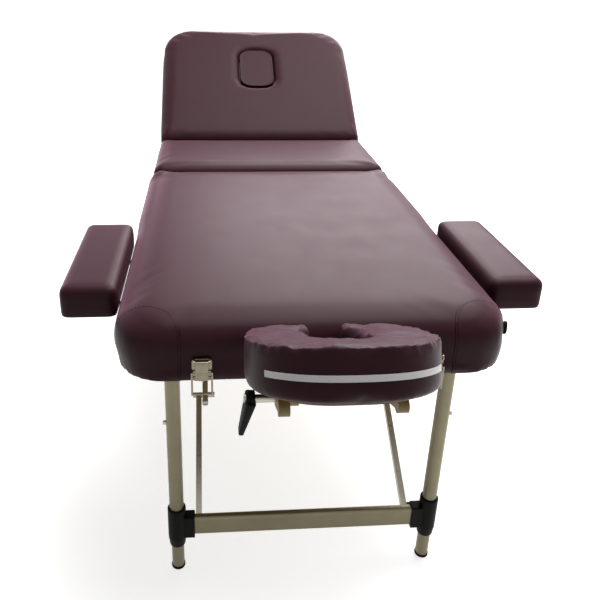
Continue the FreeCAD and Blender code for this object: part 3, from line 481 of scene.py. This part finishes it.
def tray(node, deck, name, voxel, cap, pressure, seams, corner):
    """A stuffed pad over a board, pinned on the board, along its hem and low down at its seams."""
    low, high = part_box(node)
    board_low, board_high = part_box(deck)

    def held(point):
        within = depth(point, board_low, board_high, corner) > -HOLD
        against = within and point.z < board_high.z + HOLD
        stapled = point.z < low.z + 2 * HOLD
        seam = point.z < high.z - FOAM and any(abs(point.y - y) < 2 * HOLD for y in seams)
        return against or stapled or seam

    pad = skin(node, name)
    even(pad, voxel, inset=0.3 * MM, rounds=3)
    return stuffed(pad, cap, pressure, held, calm=4, swell=3 * MM)


# %% [markdown]
# The foam of the main pad also stands out over its long sides, less where the armrests press on it. Where
# a rubber buffer is screwed on, the skin is drawn back to the CAD solid, so that the buffer sits on it.

# %% Main pad and seam strip
MAIN_CORNER, STRIP_CORNER = 86 * MM, 26 * MM
OVERHANG = 11 * MM
BESIDE_ARMS, PAST_ARMS = 0.65, 90 * MM
RIM_NEAR, RIM_FAR = 5 * MM, 25 * MM
SIDE_NEAR, SIDE_FAR = 30 * MM, 80 * MM
FADE = 40 * MM
DRAWN_NEAR, DRAWN_FAR = 16 * MM, 48 * MM
main_low, main_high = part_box("pad_main")
strip_low, strip_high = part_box("pad_strip")
arm_low, arm_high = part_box("arm_pad_r")
stud_points = points_of(nodes["bumpers_main"])
studs = [Vector(stud_points[beyond].mean(axis=0))
         for beyond in (stud_points[:, 1] < arm_low.y, stud_points[:, 1] > arm_high.y)]


def overhang(point):
    """Where the foam stands out round the corners and the long sides, as a share of the most."""
    rim = 1 - ramp(depth(point, main_low, main_high, MAIN_CORNER), RIM_NEAR, RIM_FAR)
    long_side = ramp(abs(point.x), main_high.x - SIDE_FAR, main_high.x - SIDE_NEAR)
    above_hem = ramp(point.z, main_low.z + 2 * HOLD, main_low.z + FADE)
    before_fold = ramp(main_high.y - point.y, 0, FADE)
    free = BESIDE_ARMS + (1 - BESIDE_ARMS) * ramp(point.y, arm_high.y, arm_high.y + PAST_ARMS)
    return rim * long_side * above_hem * before_fold * free


def drawn_back(pad, node, places):
    """Draw a pad's skin back to its CAD solid round the places where something is screwed on."""
    group = pad.vertex_groups.new(name="screwed")
    for i, point in enumerate(points_of(pad)):
        near = min((Vector(point) - place).length for place in places)
        group.add([i], 1 - ramp(near, DRAWN_NEAR, DRAWN_FAR), "REPLACE")
    wrap = pad.modifiers.new("screwed", "SHRINKWRAP")
    wrap.target = nodes[node]
    wrap.vertex_group = group.name
    settle(pad, wrap.name)
    pad.vertex_groups.clear()


main_pad = tray("pad_main", "deck_main", "main_pad", voxel=8 * MM, cap=5 * MM, pressure=2.5,
                seams=[main_high.y], corner=MAIN_CORNER)
strip_pad = tray("pad_strip", "deck_strip", "strip_pad", voxel=7 * MM, cap=4 * MM, pressure=2.5,
                 seams=[strip_low.y, strip_high.y], corner=STRIP_CORNER)
pushed(main_pad, "overhang", OVERHANG, overhang)
relax(main_pad, rounds=6, where=lambda point: overhang(point) > 0)
drawn_back(main_pad, "pad_main", studs)
finished(main_pad)
for pad, node, body in ((main_pad, "pad_main", "main_half"), (strip_pad, "pad_strip", "back_half")):
    dress(pad, pad.name, body, leather)
    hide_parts(node)

# %% [markdown]
# The backrest and the headrest are tilted, so what is pinned is worked out along their own axes. The
# plug's sliding axis in the record is the backrest's normal, and the headrest's normal is found from
# the largest flat face of its board.

# %% Tilted frames
ACROSS = Vector((1, 0, 0))


class Plane:
    """A tilted board: its origin, and the direction up its length and out of its face."""

    def __init__(self, origin, normal):
        self.origin = Vector(origin)
        self.normal = Vector(normal).normalized()
        self.up = self.normal.cross(ACROSS)

    def flat(self, point):
        """A real place in the board's own axes."""
        away = Vector(point) - self.origin
        return Vector((away.x, away.dot(self.up), away.dot(self.normal)))

    def real(self, x, y, z):
        """A place in the board's own axes, in the real ones."""
        return self.origin + ACROSS * x + self.up * y + self.normal * z

    def span(self, node):
        """The corners of a node's box in the board's own axes."""
        points = np.array([self.flat(v.co) for v in nodes[node].data.vertices])
        return Vector(points.min(axis=0)), Vector(points.max(axis=0))


back = Plane(joints["backrest_hinge"]["pos_m"], joints["plug_lift"]["axis"])
largest = max(nodes["head_board"].data.polygons, key=lambda face: face.area * (face.normal.z > 0.3))
head = Plane(joints["headrest_tilt"]["pos_m"], largest.normal)
print("backrest", round(math.degrees(math.asin(back.up.z)), 1), "headrest",
      round(math.degrees(math.asin(-head.up.z)), 1))

# %% [markdown]
# A block of foam is cut straight through before it is covered. So the rounded edge of the CAD solid is
# sliced off, the cut is closed, and the flat end is drawn out again to the height that it needs.

# %% Foam blocks
SAME = 0.01 * MM


def recut(pad, plane, level, way, target):
    """Slice a pad at a level, keep the side away from the way, and draw the cut end out to the target."""
    edit(pad, "FACE", [lambda: bpy.ops.mesh.bisect(
        plane_co=plane.real(0, 0, level), plane_no=plane.normal * way, use_fill=True, clear_outer=True)])
    edit(pad, "VERT", [lambda: bpy.ops.transform.translate(value=plane.normal * (target - level))],
         "vertices", lambda vertex: abs(plane.flat(vertex.co).z - level) < SAME)


# %% [markdown]
# The backrest's foam lies on a thin board, and its cover is stapled under the board's rim. The plug is
# the piece that was cut out of the backrest's face hole, sewn as a small pillow: rounding its edges is
# all that it needs, and its shrunken rim leaves the dark groove round it.

# %% Backrest and its plug
RIM = 0.5 * MM
HOLE_CORNER = 48 * MM
HOLE_BAND = 22 * MM
PLUG_CUT, PLUG_DRAWN = 7 * MM, 11 * MM
board_low, board_high = back.span("deck_backrest")
plug_low, plug_high = back.span("face_plug")


def by_the_hole(point):
    """Whether a place lies near the rim of the face hole, on the upper side."""
    place = back.flat(point)
    return abs(depth(place, plug_low, plug_high, HOLE_CORNER)) < HOLE_BAND and place.z > 0


back_pad = skin("pad_backrest", "backrest_pad")
recut(back_pad, back, board_high.z + RIM, -1, board_low.z + RIM)
even(back_pad, voxel=7 * MM, inset=0.5 * MM, rounds=3)
stuffed(back_pad, cap=4 * MM, pressure=1.6, calm=8, swell=4 * MM,
        held=lambda point: back.flat(point).z < board_high.z + HOLD)
relax(back_pad, rounds=24, where=by_the_hole)
plug_pad = skin("face_plug", "plug_pad")
recut(plug_pad, back, plug_high.z - PLUG_CUT, 1, plug_high.z + PLUG_DRAWN)
even(plug_pad, voxel=4 * MM, inset=9 * MM, rounds=36)
finished(plug_pad)
for pad, node, body in ((back_pad, "pad_backrest", "backrest"), (plug_pad, "face_plug", "plug")):
    dress(pad, pad.name, body, leather)
    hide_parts(node)

# %% [markdown]
# The headrest is a horseshoe in a boxed cover: a top panel sewn to a side band. The outer seam is
# pinned, so the panel swells above it and the band below it. Where thread gathers the skin along the
# seam it puckers, which a fine noise repeats there, and a slower noise creases the loose top.

# %% Headrest cushion
HEAD_CORNER = 116 * MM
HEAD_EDGE = 25 * MM
OPEN_HALF = 85 * MM
LOWER_RIM = 14 * MM
SEAM_HALF = 7 * MM
RESTS_IN = 30 * MM
CREASE_DEEP = 15 * MM
PUCKER_OUT = 16 * MM
head_low, head_high = head.span("head_cushion")


def head_seam(point):
    """The distance to the outer seam."""
    place = head.flat(point)
    return math.hypot(depth(place, head_low, head_high, HEAD_CORNER), head_high.z - place.z)


def head_loose(point):
    """The open ends of the horseshoe and its lower rim, where no seam keeps the edge crisp."""
    place = head.flat(point)
    return (place.y > 0 and abs(place.x) < OPEN_HALF) or place.z < head_low.z + LOWER_RIM


def head_held(point):
    """The outer seam, and where the cushion rests on its board."""
    place = head.flat(point)
    seam = head_seam(point) < SEAM_HALF and not head_loose(point)
    rests = place.z < head_low.z + HOLD and depth(place, head_low, head_high, HEAD_CORNER) > RESTS_IN
    return seam or rests


head_pad = skin("head_cushion", "head_pad")
recut(head_pad, head, head_high.z - HEAD_EDGE, 1, head_high.z)
even(head_pad, voxel=4 * MM, inset=0.5 * MM, rounds=3)
relax(head_pad, rounds=70, where=head_loose)
stuffed(head_pad, cap=11 * MM, pressure=5.0, held=head_held, calm=3, swell=1 * MM)
pushed(head_pad, "creases", 9 * MM, noise_size=45 * MM,
       weight=lambda point: ramp(head.flat(point).z, head_high.z - CREASE_DEEP, head_high.z))
pushed(head_pad, "puckers", 5 * MM, noise_size=10 * MM,
       weight=lambda point: 1 - ramp(head_seam(point), 0, PUCKER_OUT))
dress(head_pad, "head_pad", "headrest", leather)
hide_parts("head_cushion")

# %% [markdown]
# The armrests are blocks of foam in a boxed cover: every edge is a seam and stays put, and the faces
# swell between them. The apron is a thin padded band.

# %% Armrests and apron
ARM_EDGE = 14 * MM
APRON_HEM = 8 * MM


def boxed(node, name, body):
    """A block of foam in a cover that is sewn along every edge."""
    low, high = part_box(node)

    def held(point):
        near = [min(point[i] - low[i], high[i] - point[i]) < ARM_EDGE for i in range(3)]
        return sum(near) > 1 or point.z < low.z + HOLD

    pad = skin(node, name)
    even(pad, voxel=5 * MM, inset=-3 * MM, rounds=2)
    stuffed(pad, cap=4 * MM, pressure=3.0, held=held, calm=2, swell=1 * MM)
    dress(pad, name, body, leather)
    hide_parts(node)


boxed("arm_pad_l", "armrest_pad_l", "armrest_left")
boxed("arm_pad_r", "armrest_pad_r", "armrest_right")
apron_low, apron_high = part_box("apron_back")
apron = skin("apron_back", "apron_band")
even(apron, voxel=5 * MM, inset=0.3 * MM, rounds=3)
stuffed(apron, cap=1.5 * MM, pressure=2.0, calm=4, swell=1 * MM,
        held=lambda point: not apron_low.z + APRON_HEM < point.z < apron_high.z - APRON_HEM)
dress(apron, apron.name, "back_half", leather)
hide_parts("apron_back")

# %% [markdown]
# ## What is sewn on
# A patch that is sewn over a pad follows the pad exactly, so it is made from the pad: the skin is copied
# where it faces outwards, made to stand just under a millimetre proud, and trimmed by a cutter.
# The same steps make the reinforced corners of the main pad and the tape round the headrest.

# %% Sewn-on helper
SHARP, SEWN_SHARP = math.radians(35), math.radians(40)
SPARE = 20 * MM
OUTWARD = 0.2


def crisp(obj, angle=SHARP):
    """Shade a mesh smooth, except over edges that are sharper than an angle."""
    take(obj)
    bpy.ops.object.shade_smooth_by_angle(angle=angle)


def sewn_on(pad, cutter, outwards, thick, name):
    """A thin copy of a pad's skin, where it faces the given way, trimmed to the cutter."""
    centre = sum((Vector(c) for c in cutter.bound_box), Vector()) / 8
    reach = max((Vector(c) - centre).length for c in cutter.bound_box) + SPARE
    patch = bpy.data.objects.new(name, pad.data.copy())
    bpy.context.scene.collection.objects.link(patch)
    edit(patch, "FACE", [lambda: bpy.ops.mesh.delete(type="FACE")], "polygons",
         lambda face: (face.center - centre).length > reach or face.normal.dot(outwards) < OUTWARD)
    edit(patch, "FACE", [lambda: bpy.ops.mesh.subdivide(number_cuts=2, smoothness=1.0)])
    wall = patch.modifiers.new("wall", "SOLIDIFY")
    wall.thickness = 2 * thick
    wall.offset = 0.0
    settle(patch, wall.name)
    trim = patch.modifiers.new("trim", "BOOLEAN")
    trim.operation = "INTERSECT"
    trim.solver = "EXACT"
    trim.object = cutter
    settle(patch, trim.name)
    bpy.data.objects.remove(cutter)
    crisp(patch, SEWN_SHARP)
    return patch


# %% [markdown]
# The front corners of the main pad are covered by a round patch with a row of stitches inside its edge.
# In plan it is a circle of 80 mm radius about a point on the front edge, so the cutter is an upright
# cylinder.

# %% Corner patches
PATCH_R = 80 * MM
PATCH_X = 316 * MM
PATCH_T = 0.8 * MM
CUTTER_TALL, CUTTER_DROP = 300 * MM, 60 * MM


def cylinder(sides, radius, length, place=(0, 0, 0)):
    """An upright cylinder round a place."""
    bpy.ops.object.select_all(action="DESELECT")
    bpy.ops.mesh.primitive_cylinder_add(vertices=sides, radius=radius, depth=length, location=place)
    made = bpy.context.object
    settle(made)
    return made


for side, hand in ((-1, "l"), (1, "r")):
    centre = (side * PATCH_X, main_low.y, main_high.z - CUTTER_DROP)
    cutter = cylinder(128, PATCH_R, CUTTER_TALL, centre)
    outwards = Vector((side, -1, 0.9))
    patch = sewn_on(main_pad, cutter, outwards, PATCH_T, "corner_patch_" + hand)
    dress(patch, patch.name, "main_half", leather)

# %% [markdown]
# Along the edge of a patch runs a dark cord, and inside it a row of stitches. Where they run is found by
# looking at the pad from the front, from above and from the side, and noting where it is met.

# %% Where the lines run
TOP_BAND = 45 * MM
LOOK_FROM = 200 * MM
SIGHTS = 90  # lines of sight up a side, 1 mm apart
TURNED, UPWARD = 0.7, 0.3


def seen_points(starts, way, wanted):
    """Where lines of sight meet the main pad, kept if the surface there is turned as wanted."""
    found = []
    for spot in starts:
        hit, point, normal, _ = main_pad.ray_cast(Vector(spot), Vector(way))
        if hit and wanted(point, normal):
            found.append((point, normal))
    return found


def seam_points(side, r):
    """Points of a circle of some radius on the pad: up the front, over the top, down the flank."""
    heights = [main_low.z + 2 * HOLD + step * MM for step in range(SIGHTS)]
    deep = math.sqrt(r ** 2 - (main_high.x - PATCH_X) ** 2)
    before = main_low.y - LOOK_FROM
    beside = side * (main_high.x + LOOK_FROM)
    above = main_high.z + LOOK_FROM
    front = seen_points([(side * (PATCH_X - r), before, z) for z in heights], (0, 1, 0),
                        lambda point, normal: normal.y < -TURNED)
    turns = [math.radians(step) for step in range(181)]
    arc = [(side * (PATCH_X - r * math.cos(a)), main_low.y + r * math.sin(a), above) for a in turns]
    top = seen_points(arc, (0, 0, -1),
                      lambda point, normal: normal.z > UPWARD and point.z > main_high.z - TOP_BAND)
    flank = seen_points([(beside, main_low.y + deep, z) for z in reversed(heights)], (-side, 0, 0),
                        lambda point, normal: normal.x * side > TURNED)
    return front + top + flank


# %% [markdown]
# The cord is thin and round, and it follows the edge closely. A curve with a round section gives that
# without any modelling by hand, and is then turned into a mesh.

# %% Cord helper
CORD_R = 0.7 * MM


def corded(points, radius, name):
    """A round cord along a line of points."""
    curve = bpy.data.curves.new(name, "CURVE")
    curve.dimensions = "3D"
    curve.bevel_depth = radius
    curve.bevel_resolution = 2
    curve.use_fill_caps = True
    line = curve.splines.new("POLY")
    line.points.add(len(points) - 1)
    for target, (point, _) in zip(line.points, points):
        target.co = (*point, 1)
    cord = bpy.data.objects.new(name, curve)
    bpy.context.scene.collection.objects.link(cord)
    take(cord)
    bpy.ops.object.convert(target="MESH")
    cord = bpy.context.object
    bpy.ops.object.shade_smooth()
    return cord


# %% [markdown]
# A stitch is a short length of thread. One is modelled as a small capsule, and copies of it are laid
# along the line at equal steps, with a little skin showing between them.

# %% Cord and stitches
STITCH_IN = 4 * MM
STITCH_LONG, STITCH_R = 4.2 * MM, 0.45 * MM
STITCH_PITCH = 6 * MM


def along_path(points, pitch):
    """Places at equal steps along a line of points, with the direction and the normal there."""
    places = [points[0]]
    travelled = 0.0
    for (a, _), (b, normal) in zip(points, points[1:]):
        travelled += (b - a).length
        if travelled >= pitch and (b - a).length < 3 * pitch:
            travelled = 0.0
            places.append((b, normal))
    return [(place, (after - place).normalized(), normal)
            for (place, normal), (after, _) in zip(places, places[1:])]


def capsule():
    """One stitch: a short thread with rounded ends."""
    stitch = cylinder(8, STITCH_R, STITCH_LONG)
    edit(stitch, "FACE", [lambda: bpy.ops.mesh.inset(thickness=0.4 * STITCH_R, depth=0.5 * STITCH_R)],
         "polygons", lambda face: abs(face.normal.z) > 0.9)
    return stitch


def copies(model, places, name):
    """Copies of a small model, each with its own mesh, joined into one piece."""
    made = []
    for place in places:
        copy = bpy.data.objects.new(name, model.data.copy())
        bpy.context.scene.collection.objects.link(copy)
        copy.matrix_world = place
        made.append(copy)
    take(*made)
    bpy.ops.object.join()
    piece = bpy.context.object
    settle(piece)
    crisp(piece)
    return piece


def stood(place, axis, face):
    """A frame at a place, with its z along an axis and its x turned to a face's normal."""
    x = (face - axis * face.dot(axis)).normalized()
    turn = Matrix((x, axis.cross(x), axis)).transposed().to_4x4()
    return Matrix.Translation(place) @ turn


stitch = capsule()
for side, hand in ((-1, "l"), (1, "r")):
    cord = corded(seam_points(side, PATCH_R), CORD_R, "patch_cord_" + hand)
    dress(cord, cord.name, "main_half", thread)
    path = along_path(seam_points(side, PATCH_R - STITCH_IN), STITCH_PITCH)
    row = copies(stitch, [stood(place + normal * PATCH_T, along, normal) for place, along, normal in path],
                 "patch_stitches_" + hand)
    dress(row, row.name, "main_half", thread)
bpy.data.objects.remove(stitch)

# %% [markdown]
# Round the front of the headrest runs a pale strip of loop tape, by which the cushion is held on its
# platform. The cutter is a thin slab in the cushion's own plane.

# %% Headrest tape
TAPE_UP = 33 * MM
TAPE_W, TAPE_T = 8.5 * MM, 0.9 * MM
TAPE_WIDE, TAPE_DEEP = 238 * MM, 160 * MM
TAPE_X, TAPE_Y = 3 * MM, 60 * MM


def block(size, place=(0, 0, 0)):
    """A block of some size round a place."""
    bpy.ops.object.select_all(action="DESELECT")
    bpy.ops.mesh.primitive_cube_add(size=1, location=place)
    made = bpy.context.object
    made.scale = size
    settle(made)
    return made


slab = block((TAPE_WIDE, TAPE_DEEP, TAPE_W))
turn = Matrix((ACROSS, head.up, head.normal)).transposed().to_4x4()
centre = head.real(TAPE_X, head_low.y + TAPE_Y, head_low.z + TAPE_UP)
slab.matrix_world = Matrix.Translation(centre) @ turn
settle(slab)
band = sewn_on(head_pad, slab, -head.up, TAPE_T, "headrest_tape")
dress(band, band.name, "headrest", tape)

# %% [markdown]
# ## Small hardware
# A foot ends in a rubber cup that shows as a thin dark rim. It starts as a cylinder, its outer edges are
# bevelled, and its upper face is inset and pushed down for the lip.

# %% Rubber foot cups
LEGS = ("fl", "fr", "rl", "rr")
CUP_R, CUP_H = 13.9 * MM, 6 * MM
CUP_ROUND = 1.6 * MM
LIP, LIP_IN, LIP_DEEP = 0.5 * MM, 0.3 * MM, 1.2 * MM


def level_edges(obj):
    """A test for the edges of a mesh that lie level, such as a cylinder's rims."""
    points = obj.data.vertices
    return lambda edge: abs(points[edge.vertices[0]].co.z - points[edge.vertices[1]].co.z) < SAME


for key in LEGS:
    low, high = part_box("foot_" + key)
    middle = (low + high) / 2
    cup = cylinder(64, CUP_R, CUP_H, (middle.x, middle.y, low.z + CUP_H / 2))
    edit(cup, "EDGE", [lambda: bpy.ops.mesh.bevel(offset=CUP_ROUND, segments=3)], "edges",
         level_edges(cup))
    edit(cup, "FACE", [lambda: bpy.ops.mesh.inset(thickness=LIP),
                       lambda: bpy.ops.mesh.inset(thickness=LIP_IN, depth=-LIP_DEEP)], "polygons",
         lambda face: face.normal.z > 0.99 and len(face.vertices) > 8)
    crisp(cup)
    dress(cup, "foot_cup_" + key, "foot_body_" + key, rubber)

# %% [markdown]
# Pan-head screws hold the latch plates. A screw head is a short cylinder with a bevelled rim, and its
# cross slot is cut by two thin blocks. Copies go to the lower corners of each plate.

# %% Screws
SCREW_R, SCREW_H = 3 * MM, 1.7 * MM
SCREW_ROUND = 0.9 * MM
SLOT_LONG, SLOT_WIDE = 3.6 * MM, 0.8 * MM
PLATE_T, PLATE_HALF = 3 * MM, 17 * MM
SCREW_ACROSS, SCREW_UP = 12.4 * MM, 6.5 * MM


def screw_head():
    """A pan head with a cross slot, its foot at the origin."""
    screw = cylinder(32, SCREW_R, SCREW_H, (0, 0, SCREW_H / 2))
    edit(screw, "EDGE", [lambda: bpy.ops.mesh.bevel(offset=SCREW_ROUND, segments=3)], "edges",
         lambda edge: min(screw.data.vertices[i].co.z for i in edge.vertices) > 0.9 * SCREW_H)
    for size in ((SLOT_LONG, SLOT_WIDE, SCREW_H), (SLOT_WIDE, SLOT_LONG, SCREW_H)):
        slot = block(size, (0, 0, SCREW_H))
        cut = screw.modifiers.new("slot", "BOOLEAN")
        cut.object = slot
        settle(screw, cut.name)
        bpy.data.objects.remove(slot)
    return screw


def facing(place, way):
    """A frame at a place with its z along the given way."""
    return Matrix.Translation(place) @ way.to_track_quat("Z", "Y").to_matrix().to_4x4()


screw = screw_head()
plate_low, plate_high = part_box("latch_bases")
plate_face = main_low.y - PLATE_T
spots = []
for side in (-1, 1):
    middle = side * (plate_high.x - PLATE_HALF)
    for across in (-1, 1):
        spots.append(Vector((middle + across * SCREW_ACROSS, plate_face, plate_low.z + SCREW_UP)))
row = copies(screw, [facing(spot, Vector((0, -1, 0))) for spot in spots], "latch_screws")
dress(row, row.name, "main_half", nickel)
bpy.data.objects.remove(screw)

# %% [markdown]
# The cam lever of the headrest is a moulded hub with a tapered blade that leans a little outwards. The
# blade starts as a block: its edges are bevelled, a taper narrows it, and it is joined to the hub by a
# boolean, so that the lever is one closed piece.

# %% Cam lever
HUB_R, HUB_W, HUB_ROUND = 12.5 * MM, 13 * MM, 1.8 * MM
BLADE, BLADE_ROUND = (12 * MM, 24 * MM, 76 * MM), 3.5 * MM
BLADE_DOWN, BLADE_TAPER = 34 * MM, 0.7
TIP_OUT, TIP_IN = 13 * MM, 6 * MM
pivot = Vector(joints["headrest_cam"]["pos_m"])
lever_low, lever_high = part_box("head_lever")
pivot.x = (lever_low.x + lever_high.x) / 2
tip = Vector((pivot.x - TIP_OUT, lever_high.y - TIP_IN, lever_low.z))
down = (tip - pivot).normalized()
lever = cylinder(48, HUB_R, HUB_W)
edit(lever, "EDGE", [lambda: bpy.ops.mesh.bevel(offset=HUB_ROUND, segments=3)], "edges",
     level_edges(lever))
lever.matrix_world = facing(pivot, ACROSS)
settle(lever)
blade = block(BLADE)
edit(blade, "EDGE", [lambda: bpy.ops.mesh.bevel(offset=BLADE_ROUND, segments=3),
                     lambda: bpy.ops.mesh.select_all(action="SELECT"),
                     lambda: bpy.ops.mesh.subdivide(number_cuts=2)])
narrow = blade.modifiers.new("narrow", "SIMPLE_DEFORM")
narrow.deform_method = "TAPER"
narrow.deform_axis = "Z"
narrow.factor = BLADE_TAPER
settle(blade, narrow.name)
blade.matrix_world = stood(pivot + down * BLADE_DOWN, -down, ACROSS)
settle(blade)
weld = lever.modifiers.new("weld", "BOOLEAN")
weld.operation = "UNION"
weld.object = blade
settle(lever, weld.name)
bpy.data.objects.remove(blade)
crisp(lever)
dress(lever, "cam_lever", nodes["head_lever"]["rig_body"], nylon)
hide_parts("head_lever")

# %% [markdown]
# The open end of each upper brace link is closed by a black cap: a small block with rounded edges,
# turned to lie along the link. The link's own direction is found from its two ends.

# %% Link caps
CAP, CAP_ROUND = (13 * MM, 13 * MM, 15 * MM), 3 * MM
CAP_IN = 5 * MM
END_BAND = 2 * MM
for key in LEGS:
    link = nodes["upper_link_" + key]
    points = points_of(link)
    heights = points[:, 2]
    low_end = Vector(points[heights < heights.min() + END_BAND].mean(axis=0))
    high_end = Vector(points[heights > heights.max() - END_BAND].mean(axis=0))
    along = (high_end - low_end).normalized()
    cap = block(CAP)
    edit(cap, "EDGE", [lambda: bpy.ops.mesh.bevel(offset=CAP_ROUND, segments=3)])
    cap.matrix_world = stood(low_end + along * CAP_IN, along, ACROSS)
    settle(cap)
    crisp(cap)
    dress(cap, "link_cap_" + key, link["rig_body"], nylon)

# %% [markdown]
# ## Finishes on the carried-over CAD nodes
# The rigid nodes keep their shapes, and only their materials change.

# %% Assign materials
FINISH = {
    tube_metal: ("leg_", "foot_"),
    bar_metal: ("crossbar_",),
    deck_wood: ("deck_main", "deck_strip"),
    board_wood: ("deck_backrest", "head_board", "head_arms", "prop_board"),
    rail_wood: ("side_rails_", "cross_rails_", "pivot_blocks_", "prop_racks"),
    zinc: ("brackets_", "backrest_brackets", "latch_keepers", "head_rods", "arm_frame_", "button_",
           "lower_link_", "upper_link_"),
    nickel: ("latch_bases", "latch_lever_", "latch_bail_"),
    nylon: ("connectors_", "head_lever"),
    rubber: ("bumpers_",),
}
for material, starts in FINISH.items():
    dressed = [node for name, node in nodes.items() if name.startswith(starts)]
    for node in dressed:
        node.data.materials.clear()
        node.data.materials.append(material)
    print(material.name, "on", len(dressed), "nodes")

# %% [markdown]
# ## Floor, light and camera
# The photograph was taken in a studio, in front of white. The floor glows white to the camera, a little
# less under the table, so that a soft shadow stays.

# %% Floor
FLOOR_SIZE = 80
FLOOR_DOWN = 0.5 * MM


def to_the_eye(owner):
    """1 for rays from the camera or from a shiny surface, and 0 for rays that carry light."""
    rays = wire(owner, "ShaderNodeLightPath", {}, {})
    seen = wire(owner, "ShaderNodeMath", {"operation": "MAXIMUM"}, {
        0: rays.outputs["Is Camera Ray"], 1: rays.outputs["Is Glossy Ray"]})
    return seen.outputs[0]


bpy.ops.object.select_all(action="DESELECT")
bpy.ops.mesh.primitive_plane_add(size=FLOOR_SIZE, location=(0, 0, -FLOOR_DOWN))
floor = bpy.context.object
floor.name = "studio_floor"
paper, shader, place = start("white_studio_paper", Base_Color=linear("#e8e8e8"), Roughness=0.9,
                             Emission_Color=linear("#ffffff"))
away = wire(paper, "ShaderNodeVectorMath", {"operation": "LENGTH"}, {0: place})
white = wire(paper, "ShaderNodeMapRange", {"interpolation_type": "SMOOTHSTEP"}, {
    "Value": away.outputs["Value"], "From Min": 0.5, "From Max": 3.0, "To Min": 0.72, "To Max": 1.0})
glow = wire(paper, "ShaderNodeMath", {"operation": "MULTIPLY"}, {
    0: to_the_eye(paper), 1: white.outputs["Result"]})
join(paper, shader, Emission_Strength=glow.outputs[0])
floor.data.materials.append(paper)
print("floor", FLOOR_SIZE, "m wide")

# %% [markdown]
# The light is broad and comes from above and behind the table, with hardly any from the camera's side.
# So two soft boxes light it, and the white world is bright to the camera but lights the table weakly.

# %% World and lamps
world = bpy.data.worlds.new("studio")
bpy.context.scene.world = world
world.use_nodes = True
power = wire(world, "ShaderNodeMapRange", {}, {
    "Value": to_the_eye(world), "To Min": 0.12, "To Max": 1.0})
background = world.node_tree.nodes["Background"]
background.inputs["Color"].default_value = linear("#ffffff")
join(world, background, Strength=power.outputs["Result"])


def softbox(name, place, aim, size, watts):
    """A broad rectangular lamp at a place, aimed at another, which the camera doesn't see."""
    lamp = bpy.data.lights.new(name, "AREA")
    lamp.shape = "RECTANGLE"
    lamp.size, lamp.size_y = size
    lamp.energy = watts
    box = bpy.data.objects.new(name, lamp)
    bpy.context.scene.collection.objects.link(box)
    box.location = place
    box.rotation_euler = (Vector(aim) - Vector(place)).to_track_quat("-Z", "Y").to_euler()
    box.visible_camera = False
    print(name, watts, "W")


softbox("overhead_softbox", place=(0.7, 0.4, 3.2), aim=(0.1, 0.2, 0.5), size=(2.4, 2.4), watts=125)
softbox("rear_softbox", place=(1.2, 3.4, 2.4), aim=(0.1, 0.0, 0.6), size=(3.0, 1.6), watts=110)

# %% [markdown]
# The camera was worked out from the table's parallel edges. Its distance and its height are given from
# the front edge and the top of the main pad, so they follow the frame. The picture was cropped off
# centre, which the lens shift repeats.

# %% Camera
PHOTO = 600
SENSOR_MM = 36
FOCAL_PX, CENTRE_PX = 646.431, (255.478, 224.908)
PITCH, YAW, ROLL = 0.3806345, 0.0772824, 0.0182671
SIDEWAYS, BACK_OFF, ABOVE = -185.41 * MM, 928.575 * MM, 558.398 * MM
ahead = Vector((math.sin(YAW) * math.cos(PITCH), math.cos(YAW) * math.cos(PITCH), -math.sin(PITCH)))
level = Vector((math.cos(YAW), -math.sin(YAW), 0))
above = level.cross(ahead)
right = level * math.cos(ROLL) + above * math.sin(ROLL)
upward = above * math.cos(ROLL) - level * math.sin(ROLL)
lens = bpy.data.cameras.new("photo_camera")
lens.sensor_width = SENSOR_MM
lens.lens = FOCAL_PX / PHOTO * SENSOR_MM
lens.shift_x = (PHOTO / 2 - CENTRE_PX[0]) / PHOTO
lens.shift_y = (CENTRE_PX[1] - PHOTO / 2) / PHOTO
camera = bpy.data.objects.new("photo_camera", lens)
bpy.context.scene.collection.objects.link(camera)
turn = Matrix((right, upward, -ahead)).transposed()
stand = Vector((SIDEWAYS, main_low.y - BACK_OFF, main_high.z + ABOVE))
camera.matrix_world = Matrix.Translation(stand) @ turn.to_4x4()
bpy.context.scene.camera = camera
bpy.context.scene.view_settings.view_transform = "Standard"
print("camera at", tuple(round(v, 3) for v in stand))
